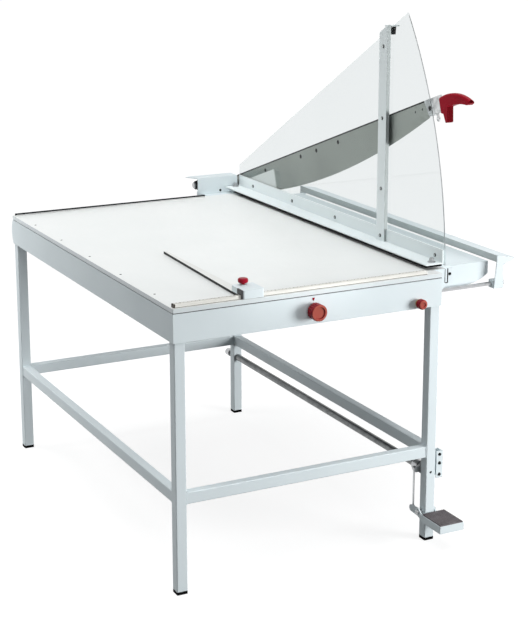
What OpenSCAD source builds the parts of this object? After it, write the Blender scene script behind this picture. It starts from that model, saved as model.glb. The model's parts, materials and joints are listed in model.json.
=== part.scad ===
// Floor-standing guillotine paper trimmer with a pedal clamp, a clear blade shield and a strip gauge.
// Lengths are in millimetres. Each piece is placed from the floor corner under the front left leg,
// with X to the right, Y to the back and Z up, and the whole is then centred over the floor.

/* [Stand] */
// Side of the square leg tube
leg_s = 28; // [24:1:34]
// Wall of the leg and stretcher tubes
leg_wall = 2; // [1.5:0.5:3]
// Width over the legs
frame_w = 736; // [660:2:860]
// Depth over the legs
frame_d = 1158; // [1100:2:1240]
// Width of the stretcher tube
stretcher_w = 24; // [18:1:24]
// Height of the stretcher tube
stretcher_h = 30; // [20:1:40]
// Height of the stretchers above the floor
stretcher_z = 230; // [215:5:320]
// Thickness of the foot caps
foot_h = 8; // [5:1:15]

/* [Table] */
// Height of the work surface
table_z = 720; // [680:5:800]
// Thickness of the table top
table_t = 13; // [10:1:18]
// Height of the aprons
apron_h = 71; // [66:1:80]
// Thickness of the folded apron sheet
sheet_t = 3; // [2:0.5:4]
// How far the rear apron bulges behind the legs
apron_bulge = 12; // [8:1:18]
// Height of the front lay above the table
lay_h = 9; // [7:0.5:12]
// Depth of the front lay
lay_d = 14; // [10:1:20]
// Length of the front lay
lay_len = 696; // [560:2:700]
// Height of the back lay above the table
lip_h = 8; // [6:1:20]
// Length of the back lay
lip_len = 616; // [400:2:616]

/* [Cutting line] */
// Width of the beam that carries the bed knife
beam_w = 26; // [24:1:34]
// Wall of the knife beam
beam_wall = 4; // [3:0.5:5]
// Thickness of the bed knife
knife_t = 10.9; // [8:0.1:14]
// Height of the bed knife
knife_h = 38; // [30:1:45]
// Gap between the bed knife and the blade
shear_gap = 0.1; // [0.05:0.05:0.2]
// Front end of the beam behind the front of the legs
beam_y = 36; // [33:1:44]

/* [Blade] */
// Thickness of the blade
blade_t = 6; // [5:0.5:8]
// Height of the pivot above the table
pivot_rise = 22; // [18:1:26]
// Distance of the pivot behind the beam
pivot_back = 61.7; // [58:0.1:70]
// Angle of the open blade above the table
blade_tilt = 19; // [17:0.5:19.5]
// Length of the blade from the pivot to its front end
blade_len = 1150; // [1120:1:1152]
// Width of the blade above the line of its holes
blade_top = 19.5; // [16:0.5:21]
// Depth of the curved edge below the line of its holes
blade_belly = 85; // [70:1:88]
// Radius of the curved edge
edge_r = 3214; // [3000:10:3600]
// Distance along the blade of the deepest point of the edge
edge_mid = 558; // [520:1:600]
// Width of the ground bevel
bevel_w = 8; // [4:0.5:12]
// Radius of the rounded tail
tail_r = 36; // [30:1:38]
// Diameter of the pivot shaft
pivot_d = 18; // [14:1:20]

/* [Handle] */
// Length of the bracket in front of the blade
bracket_len = 75; // [70:1:80]
// Width of the grip
grip_w = 18; // [16:1:24]
// Length of the grip
grip_len = 125; // [115:1:140]
// Depth of the finger guard
guard_drop = 32; // [26:1:38]

/* [Clamp] */
// Width of the clamp bar
clamp_w = 52; // [46:1:60]
// Height of the clamp bar's upright flange
clamp_h = 37; // [30:1:40]
// Thickness of the clamp bar
clamp_t = 3; // [2.5:0.5:4]
// Open gap under the clamp
clamp_gap = 7; // [5:0.5:10]
// Thickness of the rubber under the clamp
rubber_t = 5; // [2:0.5:6]
// Front end of the clamp bar
clamp_y = 37; // [37:1:44]
// Diameter of the pull rods
rod_d = 8; // [6:0.5:9]
// Distance from the first clamp screw to the second, which holds the post
screw_pitch = 258; // [240:1:260]
// First clamp screw behind the front end of the clamp bar
screw_start = 35; // [28:1:45]

/* [Shield] */
// Thickness of the clear shield
shield_t = 3; // [2:0.5:4]
// How far the curve of the shield runs past the front end of the blade
shield_r = 41.7; // [30:0.1:44]
// Height of the shield's rear edge
shield_back_h = 70; // [55:1:90]
// Slope of the shield's upper edge in degrees
shield_slope = 29.5; // [29:0.1:30]
// Width of the shield post
post_w = 40; // [36:1:52]
// Depth of the bumper on the post
bumper_h = 21; // [18:1:26]

/* [Pedal] */
// Height of the pedal pivot
pedal_z = 78; // [70:1:90]
// Reach of the pedal in front of the legs
pedal_reach = 93; // [80:1:110]
// Width of the pedal plate
pedal_w = 72; // [66:1:90]
// Diameter of the torsion shaft
torsion_d = 20; // [16:1:22]
// Height of the torsion shaft
torsion_z = 188; // [180:1:195]

/* [Gauges] */
// Place of the back gauge from the left
gauge_x = 179; // [60:1:400]
// Length of the back gauge bar
gauge_len = 492; // [300:2:600]
// Place of the strip rail to the right of the tray's left edge
rail_out = 159; // [120:1:175]
// Width of the strip rail
rail_w = 54; // [40:1:60]
// Height of the strip rail's face
rail_h = 18; // [12:0.5:22]
// Width of the off-cut tray
tray_w = 150; // [120:1:160]
// Depth of the tray below the table
tray_drop = 10.5; // [9:0.5:14]
// Diameter of the guide rods
guide_d = 10; // [8:0.5:10]
// Diameter of the setting knob
knob_d = 42; // [38:1:52]
// Place of the setting knob from the left
knob_x = 368; // [340:1:420]
// Distance of the lock knob from the right side of the frame
lock_x = 66; // [46:1:116]

/* [Hidden] */
$fn = 64;

// Fits
run_fit = 0.05;
slide_fit = 0.2;
hole_fit = 0.2;
pivot_slack = 1.4;
eps = 0.01;

// Heights of the table and its frame
table_under = table_z - table_t;
apron_z = table_under - apron_h;
leg_inner = leg_s - 2 * leg_wall;

// Cutting line from left to right
beam_x = frame_w;
knife_x = beam_x + beam_w;
blade_x = knife_x + knife_t + shear_gap;
blade_x2 = blade_x + blade_t;
shield_gap = 2;
shield_x = blade_x - shield_gap - shield_t;
clamp_x2 = shield_x;
clamp_x = clamp_x2 - clamp_w;
tray_gap = 14;
tray_x = blade_x2 + tray_gap;
rail_x = tray_x + rail_out;

// Cutting line from front to back
beam_y2 = frame_d + apron_bulge + 0.3;
pivot_y = beam_y2 + pivot_back;
pivot_z = table_z + pivot_rise;
block_y2 = pivot_y + 23;
block_top = table_z - 4;
cover_y = beam_y2 + 36;
cover_t = 2.5;
clamp_y2 = cover_y - 4;
plate_t = 3;
plate_y = beam_y - plate_t;

// Clamp heights
rubber_z = table_z + clamp_gap;
clamp_z = rubber_z + rubber_t;
clamp_top = clamp_z + clamp_t;
screw_z = clamp_top + 13.5;
flange_top = clamp_z + clamp_h;

// Pull rods, springs and levers
spring_d = 18;
spring_wire = 2.2;
spring_turns = 7;
spring_seat = apron_z + 4 + beam_wall;
spring_len = 46;
collar_h = 4;
pull_x = beam_x + spring_d / 2 + 1;
pull_y = [clamp_y + 21, cover_y - 16];
torsion_x = frame_w - leg_s / 2;
journal_d = 10;
bush_wall = 2;
eye_r = 8;
lever_t = 22;
lever_gap = 0.3;
nut_h = 6;
washer_t = 2;
rod_low = torsion_z - eye_r - lever_gap - washer_t - nut_h - 4;

// Pedal linkage
pedal_pin_d = 8;
pedal_y = leg_s / 2;
arm_t = 3;
arm_gap = 11;
pedal_x = frame_w - leg_s - arm_gap - arm_t;
link_x = pedal_x + arm_t + 3.4;
link_y = leg_s + 18;
link_d = 5;
link_pin_d = 6;
pad_t = 4;
plate_h = 20;

// Shield outline in the plane of the blade
shield_low = clamp_z - 2;
shield_back = clamp_y2 + 4;
shield_c = [pivot_y - 9.3, pivot_z - 48];
shield_rad = blade_len + shield_r;
shield_front = -200;
post_y = clamp_y + screw_start + screw_pitch;
post_depth = 10;
post_x = clamp_x2 - post_depth;
post_over = 8;
arm_reach = 28;

// Gauges
tray_z = table_z - tray_drop;
tray_t = 2;
tray_y = beam_y + 52;
tray_y2 = frame_d - 48;
tray_wall_z = apron_z + 16;
tray_bend_r = 120;
tray_flat = 77;
rail_y = tray_y - 28;
rail_y2 = tray_y2 + 26;
rail_t = 2.5;
rail_low = tray_z + 1;
rail_top = rail_low + rail_h;
rail_fall = 10;
rail_lip = 6;
bracket_t = 3;
module_m = 1.5;
teeth = 20;
pitch_r = module_m * teeth / 2;
knob_z = apron_z + apron_h / 2 - 0.5;
rack_z = knob_z - pitch_r;
guide_z = rack_z - guide_d / 2;
guide_y = [rail_y + bracket_t + 12, rail_y2 - bracket_t - 12];
shaft_d = 12;
lock_at = frame_w - lock_x;
rack_len = 230;
housing_l = 60;
housing_w = 24;

// Everything is shifted so that the box round the trimmer is centred over the floor
x_min = -sheet_t;
x_max = rail_x + rail_w;
y_min = -pedal_reach;
y_max = pivot_y + tail_r;
centre = [-(x_min + x_max) / 2, -(y_min + y_max) / 2, 0];

// Colours
paint = [0.86, 0.89, 0.90];
table_white = [0.92, 0.93, 0.92];
steel = [0.62, 0.64, 0.62];
bright = [0.80, 0.81, 0.82];
dark = [0.12, 0.13, 0.14];
red = [0.60, 0.10, 0.15];
clear = [0.90, 0.94, 0.95, 0.35];
bronze = [0.72, 0.56, 0.32];
cream = [0.90, 0.87, 0.78];

// Shared shapes

module place() translate(centre) children();

// A box between two corners
module block(low, high) translate(low) cube(high - low);

// A flat outline drawn as (y, z), pulled along X
module pull_along_x(x0, x1) translate([x0, 0, 0]) rotate([90, 0, 90]) linear_extrude(x1 - x0) children();

// A flat outline drawn as (x, z), pulled along Y
module pull_along_y(y0, y1) translate([0, y1, 0]) rotate([90, 0, 0]) linear_extrude(y1 - y0) children();

// Round bars along each axis
module bar_x(x0, x1, y, z, d) translate([x0, y, z]) rotate([0, 90, 0]) cylinder(h = x1 - x0, d = d);
module bar_y(y0, y1, x, z, d) translate([x, y0, z]) rotate([-90, 0, 0]) cylinder(h = y1 - y0, d = d);
module bar_z(z0, z1, x, y, d) translate([x, y, z0]) cylinder(h = z1 - z0, d = d);

// A rectangle with round corners, from its lower left corner
module round_rect(size, r) {
    translate([r, 0]) square([size.x - 2 * r, size.y]);
    translate([0, r]) square([size.x, size.y - 2 * r]);
    for (x = [r, size.x - r], y = [r, size.y - r])
        translate([x, y]) circle(r);
}

// A square tube's section
module tube_section(w, h, wall) {
    corner = 2.5;
    difference() {
        round_rect([w, h], corner);
        translate([wall, wall]) round_rect([w - 2 * wall, h - 2 * wall], corner - 1);
    }
}

// Points on an arc, from one angle to another
function arc(c, r, a0, a1, n) =
    [for (i = [0 : n]) c + r * [cos(a0 + (a1 - a0) * i / n), sin(a0 + (a1 - a0) * i / n)]];

// A hexagon nut with a bore, standing on its lower face
module nut(across, h, bore) difference() {
    cylinder(h = h, d = across / cos(30), $fn = 6);
    translate([0, 0, -eps]) cylinder(h = h + 2 * eps, d = bore);
}

// A round-headed screw that points along +Z, with its head below zero
module screw(d, len, head_d, head_h) {
    cylinder(h = len, d = d);
    translate([0, 0, -head_h]) difference() {
        cylinder(h = head_h, d1 = head_d * 0.72, d2 = head_d);
        translate([-head_d, -0.5, -eps]) cube([2 * head_d, 1, head_h * 0.35]);
    }
}

// Frame of the blade: s runs forward along it from the pivot, v runs up across it
module blade_frame(x0, x1) translate([x0, pivot_y, pivot_z]) rotate([-blade_tilt, 0, 0])
    rotate([90, 0, 90]) linear_extrude(x1 - x0) mirror([1, 0]) children();

// Stand

module leg_tube(x, y) translate([x, y, foot_h])
    linear_extrude(table_under - foot_h) tube_section(leg_s, leg_s, leg_wall);

right_leg_x = frame_w - leg_s;
rear_leg_y = frame_d - leg_s;
bush_d = journal_d + 2 * bush_wall;

module front_left_leg() color(paint) place() leg_tube(0, 0);

module rear_left_leg() color(paint) place() leg_tube(0, rear_leg_y);

// This leg carries the pedal pin and the front end of the torsion shaft
module front_right_leg() color(paint) place() difference() {
    leg_tube(right_leg_x, 0);
    bar_y(-1, leg_wall + 1, torsion_x, torsion_z, journal_d - 3);
    bar_y(leg_s / 2, leg_s + 1, torsion_x, torsion_z, bush_d + 2 * run_fit);
    bar_x(right_leg_x - 1, frame_w + 1, pedal_y, pedal_z, pedal_pin_d + 2 * run_fit);
}

module rear_right_leg() color(paint) place() difference() {
    leg_tube(right_leg_x, rear_leg_y);
    bar_y(rear_leg_y - 1, frame_d + 1, torsion_x, torsion_z, bush_d + 2 * run_fit);
}

module foot_cap(x, y) translate([x, y, 0]) {
    plug = leg_inner - 2 * slide_fit;
    linear_extrude(foot_h) round_rect([leg_s, leg_s], 2.5);
    translate([leg_wall + slide_fit, leg_wall + slide_fit, foot_h])
        linear_extrude(14) round_rect([plug, plug], 1.5);
}

module feet() color(dark) place()
    for (x = [0, right_leg_x], y = [0, rear_leg_y])
        foot_cap(x, y);

stretcher_in = (leg_s - stretcher_w) / 2;

module cross_stretcher(y) pull_along_x(leg_s, right_leg_x)
    translate([y + stretcher_in, stretcher_z]) tube_section(stretcher_w, stretcher_h, leg_wall);

module side_stretcher(x) pull_along_y(leg_s, rear_leg_y)
    translate([x + stretcher_in, stretcher_z]) tube_section(stretcher_w, stretcher_h, leg_wall);

module front_stretcher() color(paint) place() cross_stretcher(0);
module rear_stretcher() color(paint) place() cross_stretcher(rear_leg_y);
module left_stretcher() color(paint) place() side_stretcher(0);
module right_stretcher() color(paint) place() side_stretcher(right_leg_x);

// Table frame

flange_gap = 0.3;
top_flange = 25;
low_flange = 18;
lock_screw_d = 8;
collar_d = 18;

// Folded front panel, with the holes for the setting knob's bush and the lock screw
module front_apron() color(paint) place() difference() {
    union() {
        block([-sheet_t, -sheet_t, apron_z], [frame_w + sheet_t, 0, table_under]);
        block([leg_s + flange_gap, 0, table_under - sheet_t],
            [right_leg_x - flange_gap, top_flange, table_under]);
        block([leg_s + flange_gap, 0, apron_z], [right_leg_x - flange_gap, low_flange, apron_z + sheet_t]);
    }
    bar_y(-sheet_t - 1, 1, knob_x, knob_z, shaft_d + 2 * bush_wall + 2 * run_fit);
    bar_y(-sheet_t - 1, 1, lock_at, guide_z, lock_screw_d + 2 * bush_wall + 2 * run_fit);
}

bulge_r = (pow(apron_h / 2, 2) + pow(apron_bulge, 2)) / (2 * apron_bulge);

// The shallow round of the rear apron, as an outline in (y, z)
module bulge_outline(inset) intersection() {
    translate([frame_d + apron_bulge - bulge_r, apron_z + apron_h / 2]) circle(bulge_r - inset, $fn = 120);
    translate([frame_d, apron_z + inset]) square([apron_bulge - inset, apron_h - 2 * inset]);
}

module left_apron() color(paint) place() {
    pull_along_x(-sheet_t, 0) {
        translate([0, apron_z]) square([frame_d, apron_h]);
        bulge_outline(0);
    }
    block([0, leg_s + flange_gap, table_under - sheet_t],
        [top_flange, rear_leg_y - flange_gap, table_under]);
    block([0, leg_s + flange_gap, apron_z], [low_flange, rear_leg_y - flange_gap, apron_z + sheet_t]);
}

module rear_apron() color(paint) place() pull_along_x(0, frame_w) difference() {
    bulge_outline(0);
    bulge_outline(sheet_t);
}

reveal_in = 2.5;
reveal_h = 2;

// The table rests on the aprons, the legs and the knife beam; a small rebate marks the joint with the aprons
module table_top() color(table_white) place() difference() {
    translate([-sheet_t, -sheet_t, table_under])
        linear_extrude(table_t) round_rect([knife_x + sheet_t, frame_d + sheet_t], 2);
    bar_z(table_under - 1, table_z + 1, pull_x, pull_y[0], rod_d + 2);
    block([frame_w + sheet_t, -2 * sheet_t, table_under - 1], [knife_x + 1, beam_y, table_z + 1]);
    block([-2 * sheet_t, -2 * sheet_t, table_under - 1],
        [reveal_in - sheet_t, frame_d + 1, table_under + reveal_h]);
    block([-2 * sheet_t, -2 * sheet_t, table_under - 1],
        [knife_x + 1, reveal_in - sheet_t, table_under + reveal_h]);
}

// Channel that carries the bed knife along the right of the table
beam_low = spring_seat - beam_wall;
rod_bush_d = guide_d + 2 * bush_wall;

module knife_beam() color(paint) place() difference() {
    pull_along_y(beam_y, beam_y2) difference() {
        translate([beam_x, beam_low]) square([beam_w, table_under - beam_low]);
        translate([beam_x - 1, beam_low + beam_wall])
            square([beam_w - beam_wall + 1, table_under - beam_low - 2 * beam_wall]);
    }
    bar_z(beam_low - 1, table_under + 1, pull_x, pull_y[0], rod_d + 2);
    for (y = guide_y)
        bar_x(knife_x - beam_wall - 1, knife_x + 1, y, guide_z, rod_bush_d + 2 * run_fit);
    for (y = knife_screw_y)
        bar_x(knife_x - beam_wall - 1, knife_x + 1, y, knife_screw_z, knife_screw_d + hole_fit);
}

knife_screw_d = 6;
knife_screw_n = 6;
knife_screw_in = 85;
knife_screw_z = table_under - 14;
knife_screw_y = [for (i = [0 : knife_screw_n - 1])
    beam_y + knife_screw_in + i * (beam_y2 - beam_y - 2 * knife_screw_in) / (knife_screw_n - 1)];
knife_screw_deep = 7;

module bed_knife() color(bright) place() difference() {
    block([knife_x, beam_y, table_z - knife_h], [knife_x + knife_t, beam_y2, table_z]);
    for (y = knife_screw_y)
        bar_x(knife_x - 1, knife_x + knife_screw_deep, y, knife_screw_z, knife_screw_d + hole_fit);
}

module knife_screws() color(dark) place()
    for (y = knife_screw_y)
        translate([knife_x - beam_wall, y, knife_screw_z]) rotate([0, 90, 0])
            screw(knife_screw_d, beam_wall + knife_screw_deep - 0.5, 11, 6);

// Lays

lay_y = 3;
lay_x = 2;
groove_w = 5;
groove_d = 4;

// Grooved bar along the front edge that the back gauge runs on
module front_lay() color(cream) place() pull_along_x(lay_x, lay_x + lay_len) difference() {
    translate([lay_y, table_z]) round_rect([lay_d, lay_h], 1);
    translate([lay_y + (lay_d - groove_w) / 2, table_z + lay_h - groove_d]) square([groove_w, groove_d + 1]);
}

module back_lay() color(dark) place() {
    lip_t = 3;
    foot_w = 10;
    lip_y = frame_d - 16;
    pull_along_x(0, lip_len) {
        translate([lip_y, table_z]) square([lip_t, lip_h]);
        translate([lip_y, table_z]) square([foot_w, 1.5]);
    }
}

// Latch plate at the front end of the beam, with a slot that the blade's catch drops into

slot_w = 10;
slot_x = blade_x + blade_t / 2;
latch_plate_x = frame_w + sheet_t + flange_gap;
latch_plate_w = 54.7;
latch_fillet = 39;
latch_slot_low = table_z - 34;

module latch_plate() color(paint) place() difference() {
    pull_along_y(plate_y, beam_y) difference() {
        translate([latch_plate_x, beam_low]) square([latch_plate_w, table_z - beam_low]);
        translate([latch_plate_x + latch_plate_w, beam_low]) circle(latch_fillet);
        translate([slot_x - slot_w / 2, latch_slot_low]) square([slot_w, table_z]);
        translate([slot_x, latch_slot_low]) circle(slot_w / 2);
    }
    bar_y(plate_y - 1, beam_y + 1, latch_screw.x, latch_screw.y, panel_screw_d + hole_fit);
}

latch_screw = [slot_x + slot_w / 2 + 5, table_z - 15];

// Off-cut tray, a folded sheet with curved end walls

module tray_wall_outline() intersection() {
    translate([tray_x, tray_wall_z]) square([tray_w, tray_z - tray_wall_z]);
    union() {
        translate([tray_x, tray_wall_z]) square([tray_flat, tray_z - tray_wall_z]);
        translate([tray_x + tray_flat, tray_wall_z + tray_bend_r]) circle(tray_bend_r, $fn = 120);
    }
}

module offcut_tray() color(paint) place() {
    for (y = [tray_y, tray_y2 - tray_t])
        pull_along_y(y, y + tray_t) tray_wall_outline();
    pull_along_y(tray_y + tray_t, tray_y2 - tray_t) {
        translate([tray_x, tray_z - tray_t]) square([tray_w, tray_t]);
        translate([tray_x, beam_low]) square([tray_t, tray_z - beam_low]);
        intersection() {
            difference() {
                translate([tray_x + tray_flat, tray_wall_z + tray_bend_r]) circle(tray_bend_r, $fn = 120);
                translate([tray_x + tray_flat, tray_wall_z + tray_bend_r]) circle(tray_bend_r - tray_t, $fn = 120);
            }
            translate([tray_x + tray_flat, tray_wall_z]) square([tray_w - tray_flat, tray_z - tray_wall_z]);
        }
    }
}

arm_w = 30;
arm_h = 5;
arm_inset = 60;
tray_arm_y = [for (i = [0 : 2]) tray_y + arm_inset + i * (tray_y2 - tray_y - 2 * arm_inset - arm_w) / 2];

// Flat arms under the beam that hold the tray clear of the blade
module tray_arms() color(paint) place()
    for (y = tray_arm_y)
        translate([beam_x + 2, y, beam_low - arm_h])
            linear_extrude(arm_h) round_rect([tray_x + tray_t + 20 - beam_x - 2, arm_w], 4);

// Blade pivot

boss_r = 22;
bush_len = 24;
pivot_bush_d = pivot_d + 8;
bearing_in = 96;
block_x = frame_w - bearing_in;
rod_pocket_d = spring_d + 2;

// Casting behind the table with a long bore for the pivot shaft and a pocket for the rear spring
module pivot_bearing() color(paint) place() difference() {
    union() {
        block([block_x, beam_y2, beam_low], [knife_x, block_y2, block_top]);
        block([block_x, cover_y + cover_t, block_top], [knife_x - 2, pivot_y + 18, pivot_z]);
        bar_x(block_x, knife_x - 2, pivot_y, pivot_z, 2 * boss_r);
    }
    bar_x(block_x - 1, knife_x, pivot_y, pivot_z, pivot_bush_d + 2 * run_fit);
    bar_z(beam_low - 1, block_top + 1, pull_x, pull_y[1], rod_d + 2);
    bar_z(spring_seat, block_top + 1, pull_x, pull_y[1], rod_pocket_d);
    rib = 8;
    bay = (pull_x - rod_pocket_d / 2 - rib - block_x - 2 * rib) / 2;
    for (i = [0, 1])
        block([block_x + rib + i * (bay + rib), beam_y2 + 12, beam_low - 1],
            [block_x + rib + bay + i * (bay + rib), block_y2 - rib, block_top - rib]);
    bar_y(cover_y, cover_y + 12, cover_screw.x, cover_screw.y, panel_screw_d + hole_fit);
}

cover_screw = [block_x + 60, block_top + 8];
cover_left = 18;
cover_tip = 20;
cover_top = boss_r + 3.5;
cover_x = block_x - cover_left;

// Folded cover over the bearing; its top flange runs out to a point on the left
module pivot_cover() color(paint) place() difference() {
    union() {
        block([cover_x, cover_y, block_top], [knife_x - 2, cover_y + cover_t, pivot_z + cover_top]);
        translate([0, 0, pivot_z + cover_top - cover_t]) linear_extrude(cover_t)
            polygon([[cover_x, cover_y], [knife_x - 2, cover_y], [knife_x - 2, block_y2],
                [cover_x - cover_tip, block_y2]]);
    }
    bar_y(cover_y - 1, cover_y + cover_t + 1, cover_screw.x, cover_screw.y, panel_screw_d + hole_fit);
}

panel_screw_d = 4;
guard_low = torsion_z - 20;
guard_h = 73;
guard_y = 3;
guard_t = 3;
guard_d = 23;
guard_w = 24;
guard_screw_x = frame_w + 14.5;
guard_screw_z = [for (up = [9, 40, 64]) guard_low + up];

module panel_screws() color(bright) place() {
    translate([latch_screw.x, plate_y, latch_screw.y]) rotate([-90, 0, 0]) screw(panel_screw_d, plate_t, 8, 2.5);
    translate([cover_screw.x, cover_y, cover_screw.y]) rotate([-90, 0, 0]) screw(panel_screw_d, 10, 8, 2.5);
    for (z = guard_screw_z)
        translate([guard_screw_x, guard_y, z]) rotate([-90, 0, 0]) screw(panel_screw_d, 9, 9, 2.5);
}

// Folded guard beside the front right leg, open towards it
module lever_guard() color(paint) place() difference() {
    translate([0, 0, guard_low]) linear_extrude(guard_h) {
        translate([frame_w + 5, guard_y]) square([guard_w - 5, guard_t]);
        translate([frame_w + guard_w - guard_t, guard_y]) square([guard_t, guard_d]);
        translate([frame_w, guard_y + guard_d - guard_t]) square([guard_w, guard_t]);
    }
    for (z = guard_screw_z)
        bar_y(guard_y - 1, guard_y + guard_t + 1, guard_screw_x, z, panel_screw_d + hole_fit);
}

// A plain bush along an axis, from a drilled bar
module bush_y(y0, y1, x, z, d, bore) difference() {
    bar_y(y0, y1, x, z, d);
    bar_y(y0 - 1, y1 + 1, x, z, bore);
}

module bush_x(x0, x1, y, z, d, bore) difference() {
    bar_x(x0, x1, y, z, d);
    bar_x(x0 - 1, x1 + 1, y, z, bore);
}

// Bushes of the pivot, the torsion shaft, the guide rods, the setting knob and the lock screw
module bushes() color(bronze) place() {
    for (x = [block_x, knife_x - 2 - bush_len])
        bush_x(x, x + bush_len, pivot_y, pivot_z, pivot_bush_d, pivot_d + 2 * run_fit);
    bush_y(leg_wall + 0.5, leg_s + 1.5, torsion_x, torsion_z, bush_d, journal_d + 2 * run_fit);
    bush_y(rear_leg_y - 1.5, frame_d + 1.5, torsion_x, torsion_z, bush_d, journal_d + 2 * run_fit);
    for (y = guide_y)
        bush_x(knife_x - beam_wall - 6, knife_x + 3, y, guide_z, rod_bush_d, guide_d + 2 * run_fit);
    bush_y(-sheet_t - 2, 6, knob_x, knob_z, shaft_d + 2 * bush_wall, shaft_d + 2 * run_fit);
    bush_y(-sheet_t, 12, lock_at, guide_z, lock_screw_d + 2 * bush_wall, lock_screw_d + 2 * run_fit);
    bush_y(-sheet_t - 5, -sheet_t, lock_at, guide_z, collar_d, lock_screw_d + 2 * run_fit);
}

pinion_w = 12;
pinion_room = 2;

// Housings under the table that hold each rack against its pinion
module rack_housings() color(dark) place()
    for (y = guide_y)
        difference() {
            block([knob_x - housing_l / 2, y - housing_w / 2, guide_z - guide_d / 2 - 5],
                [knob_x + housing_l / 2, y + housing_w / 2, table_under]);
            block([knob_x - housing_l, y - guide_d / 2 - slide_fit, guide_z - guide_d / 2 - slide_fit],
                [knob_x + housing_l, y + guide_d / 2 + slide_fit, rack_z + module_m + 1]);
            bar_y(y - pinion_w / 2 - pinion_room, y + pinion_w / 2 + pinion_room, knob_x, knob_z,
                2 * (pitch_r + module_m + pinion_room));
            bar_y(y - housing_w, y + housing_w, knob_x, knob_z, shaft_d + 2 * run_fit);
        }

module index_pointer() color(red) place() pull_along_y(-sheet_t - 1.5, -sheet_t)
    translate([knob_x, knob_z + knob_d / 2 + 2]) polygon([[0, 0], [3.5, 8], [-3.5, 8]]);

// Blade, drawn in its own frame with the pivot at the origin

edge_c = [edge_mid, edge_r - blade_belly];
hole_s = [210, 450, 550, 682];
hole_d = 8;
nose_lean = 13;
nose_drop = 46.5;
bracket_lap = 60;
lap_screw_s = [blade_len - bracket_lap + 12, blade_len - 14];

module blade_outline() intersection() {
    translate(edge_c) circle(edge_r, $fn = 720);
    polygon([[-tail_r - 2, blade_top], [blade_len, blade_top],
        [blade_len + 2 * nose_lean, blade_top - 2 * nose_drop],
        [blade_len + 2 * nose_lean, -blade_belly - 2], [-tail_r - 2, -blade_belly - 2]]);
    union() {
        circle(tail_r);
        translate([0, -blade_belly - 2]) square([blade_len + 3 * nose_lean, blade_belly + blade_top + 4]);
    }
}

module blade() color(steel) place() difference() {
    blade_frame(blade_x, blade_x2) difference() {
        blade_outline();
        circle(d = pivot_d + 2 * run_fit);
        for (s = hole_s)
            translate([s, 0]) circle(d = hole_d);
        for (s = lap_screw_s)
            translate([s, 0]) circle(d = lap_screw_d + hole_fit);
    }
    // Ground bevel on the side away from the bed knife
    translate([blade_x, pivot_y, pivot_z]) rotate([-blade_tilt, 0, 0]) translate([0, -edge_c.x, edge_c.y])
        rotate([0, 90, 0]) rotate_extrude($fn = 720)
            polygon([[edge_r - bevel_w, blade_t + eps], [edge_r + 1, blade_t + eps], [edge_r + 1, 1],
                [edge_r, 1]]);
}

lap_screw_d = 6;
lap_t = 8;
lap_front = blade_len + 34;
bracket_front = blade_len + bracket_len;
bracket_low = blade_top - 43;
bracket_mid = (blade_top + bracket_low) / 2;
nose_gap = 0.3;
tongue_h = 18;
tongue_s = bracket_front + 26;
latch_pivot = [blade_len + 46, bracket_low + 7];
latch_r = 7;
latch_drop = 20;
latch_t = 3;
latch_slack = 0.3;
latch_pin_d = 4;
bolt_at = [blade_len + 21, -4];
bolt_head_d = 12;
bolt_sink = 6.5;

// Flat tongue that the grip is pushed on
module tongue_outline(gap) translate([bracket_front - 1, bracket_mid - tongue_h / 2 - gap])
    square([tongue_s - bracket_front + 1 + gap, tongue_h + 2 * gap]);

// Cast bracket: a thick root in front of the blade, a plate beside the blade, and a tongue in the blade's own
// plane that the grip sits on
module handle_bracket() color(bright) place() difference() {
    union() {
        blade_frame(blade_x, blade_x2 + lap_t)
            polygon([[blade_len + nose_gap, blade_top], [lap_front, blade_top], [lap_front, bracket_low],
                [blade_len + nose_gap + nose_lean * (blade_top - bracket_low) / nose_drop, bracket_low]]);
        blade_frame(blade_x, blade_x2) {
            translate([lap_front - 1, bracket_low])
                square([bracket_front - lap_front + 1, blade_top - bracket_low]);
            tongue_outline(0);
        }
        blade_frame(blade_x2, blade_x2 + lap_t)
            polygon([[blade_len - bracket_lap, blade_top - 2], [blade_len + 4, blade_top - 2],
                [blade_len + 16, -blade_top + 4], [blade_len - bracket_lap, -blade_top + 4]]);
    }
    blade_frame(blade_x2 - 1, blade_x2 + lap_t + 1)
        for (s = lap_screw_s)
            translate([s, 0]) circle(d = lap_screw_d + hole_fit);
    blade_frame(blade_x - 1, blade_x2 + lap_t + 1) translate(bolt_at) circle(d = lap_screw_d + hole_fit);
    blade_frame(blade_x - 1, blade_x + bolt_sink) translate(bolt_at) circle(d = bolt_head_d + 2);
    blade_frame(blade_x - 1, blade_x2 + 1) translate(latch_pivot) circle(d = latch_pin_d + 2 * run_fit);
    blade_frame(latch_x - latch_slack, blade_x2 + 1) {
        translate(latch_pivot) circle(latch_r + 1.5);
        translate(latch_pivot - [latch_r + 1, 30]) square([2 * latch_r + 2, 30]);
    }
}

socket_across = 5;
socket_deep = 3;

// Screws of the plate, the sunk bolt of the root and a set screw in each hole of the blade
module bracket_screws() color(dark) place() {
    for (s = lap_screw_s)
        translate([blade_x2 + lap_t, pivot_y, pivot_z]) rotate([-blade_tilt, 0, 0]) translate([0, -s, 0])
            rotate([0, -90, 0]) screw(lap_screw_d, lap_t + blade_t - 0.3, 11, 5);
    difference() {
        union() {
            blade_frame(blade_x + 0.3, blade_x + bolt_sink) translate(bolt_at) circle(d = bolt_head_d);
            blade_frame(blade_x + bolt_sink - 1, blade_x2 + lap_t) translate(bolt_at) circle(d = lap_screw_d);
            for (s = hole_s)
                blade_frame(blade_x + 0.5, blade_x2 - 0.5) translate([s, 0]) circle(d = hole_d - 2 * run_fit);
        }
        blade_frame(blade_x - 1, blade_x + 0.5 + socket_deep)
            for (at = concat([bolt_at], [for (s = hole_s) [s, 0]]))
                translate(at) circle(d = socket_across / cos(30), $fn = 6);
    }
}

latch_x = blade_x2 - latch_t - latch_slack;

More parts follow.
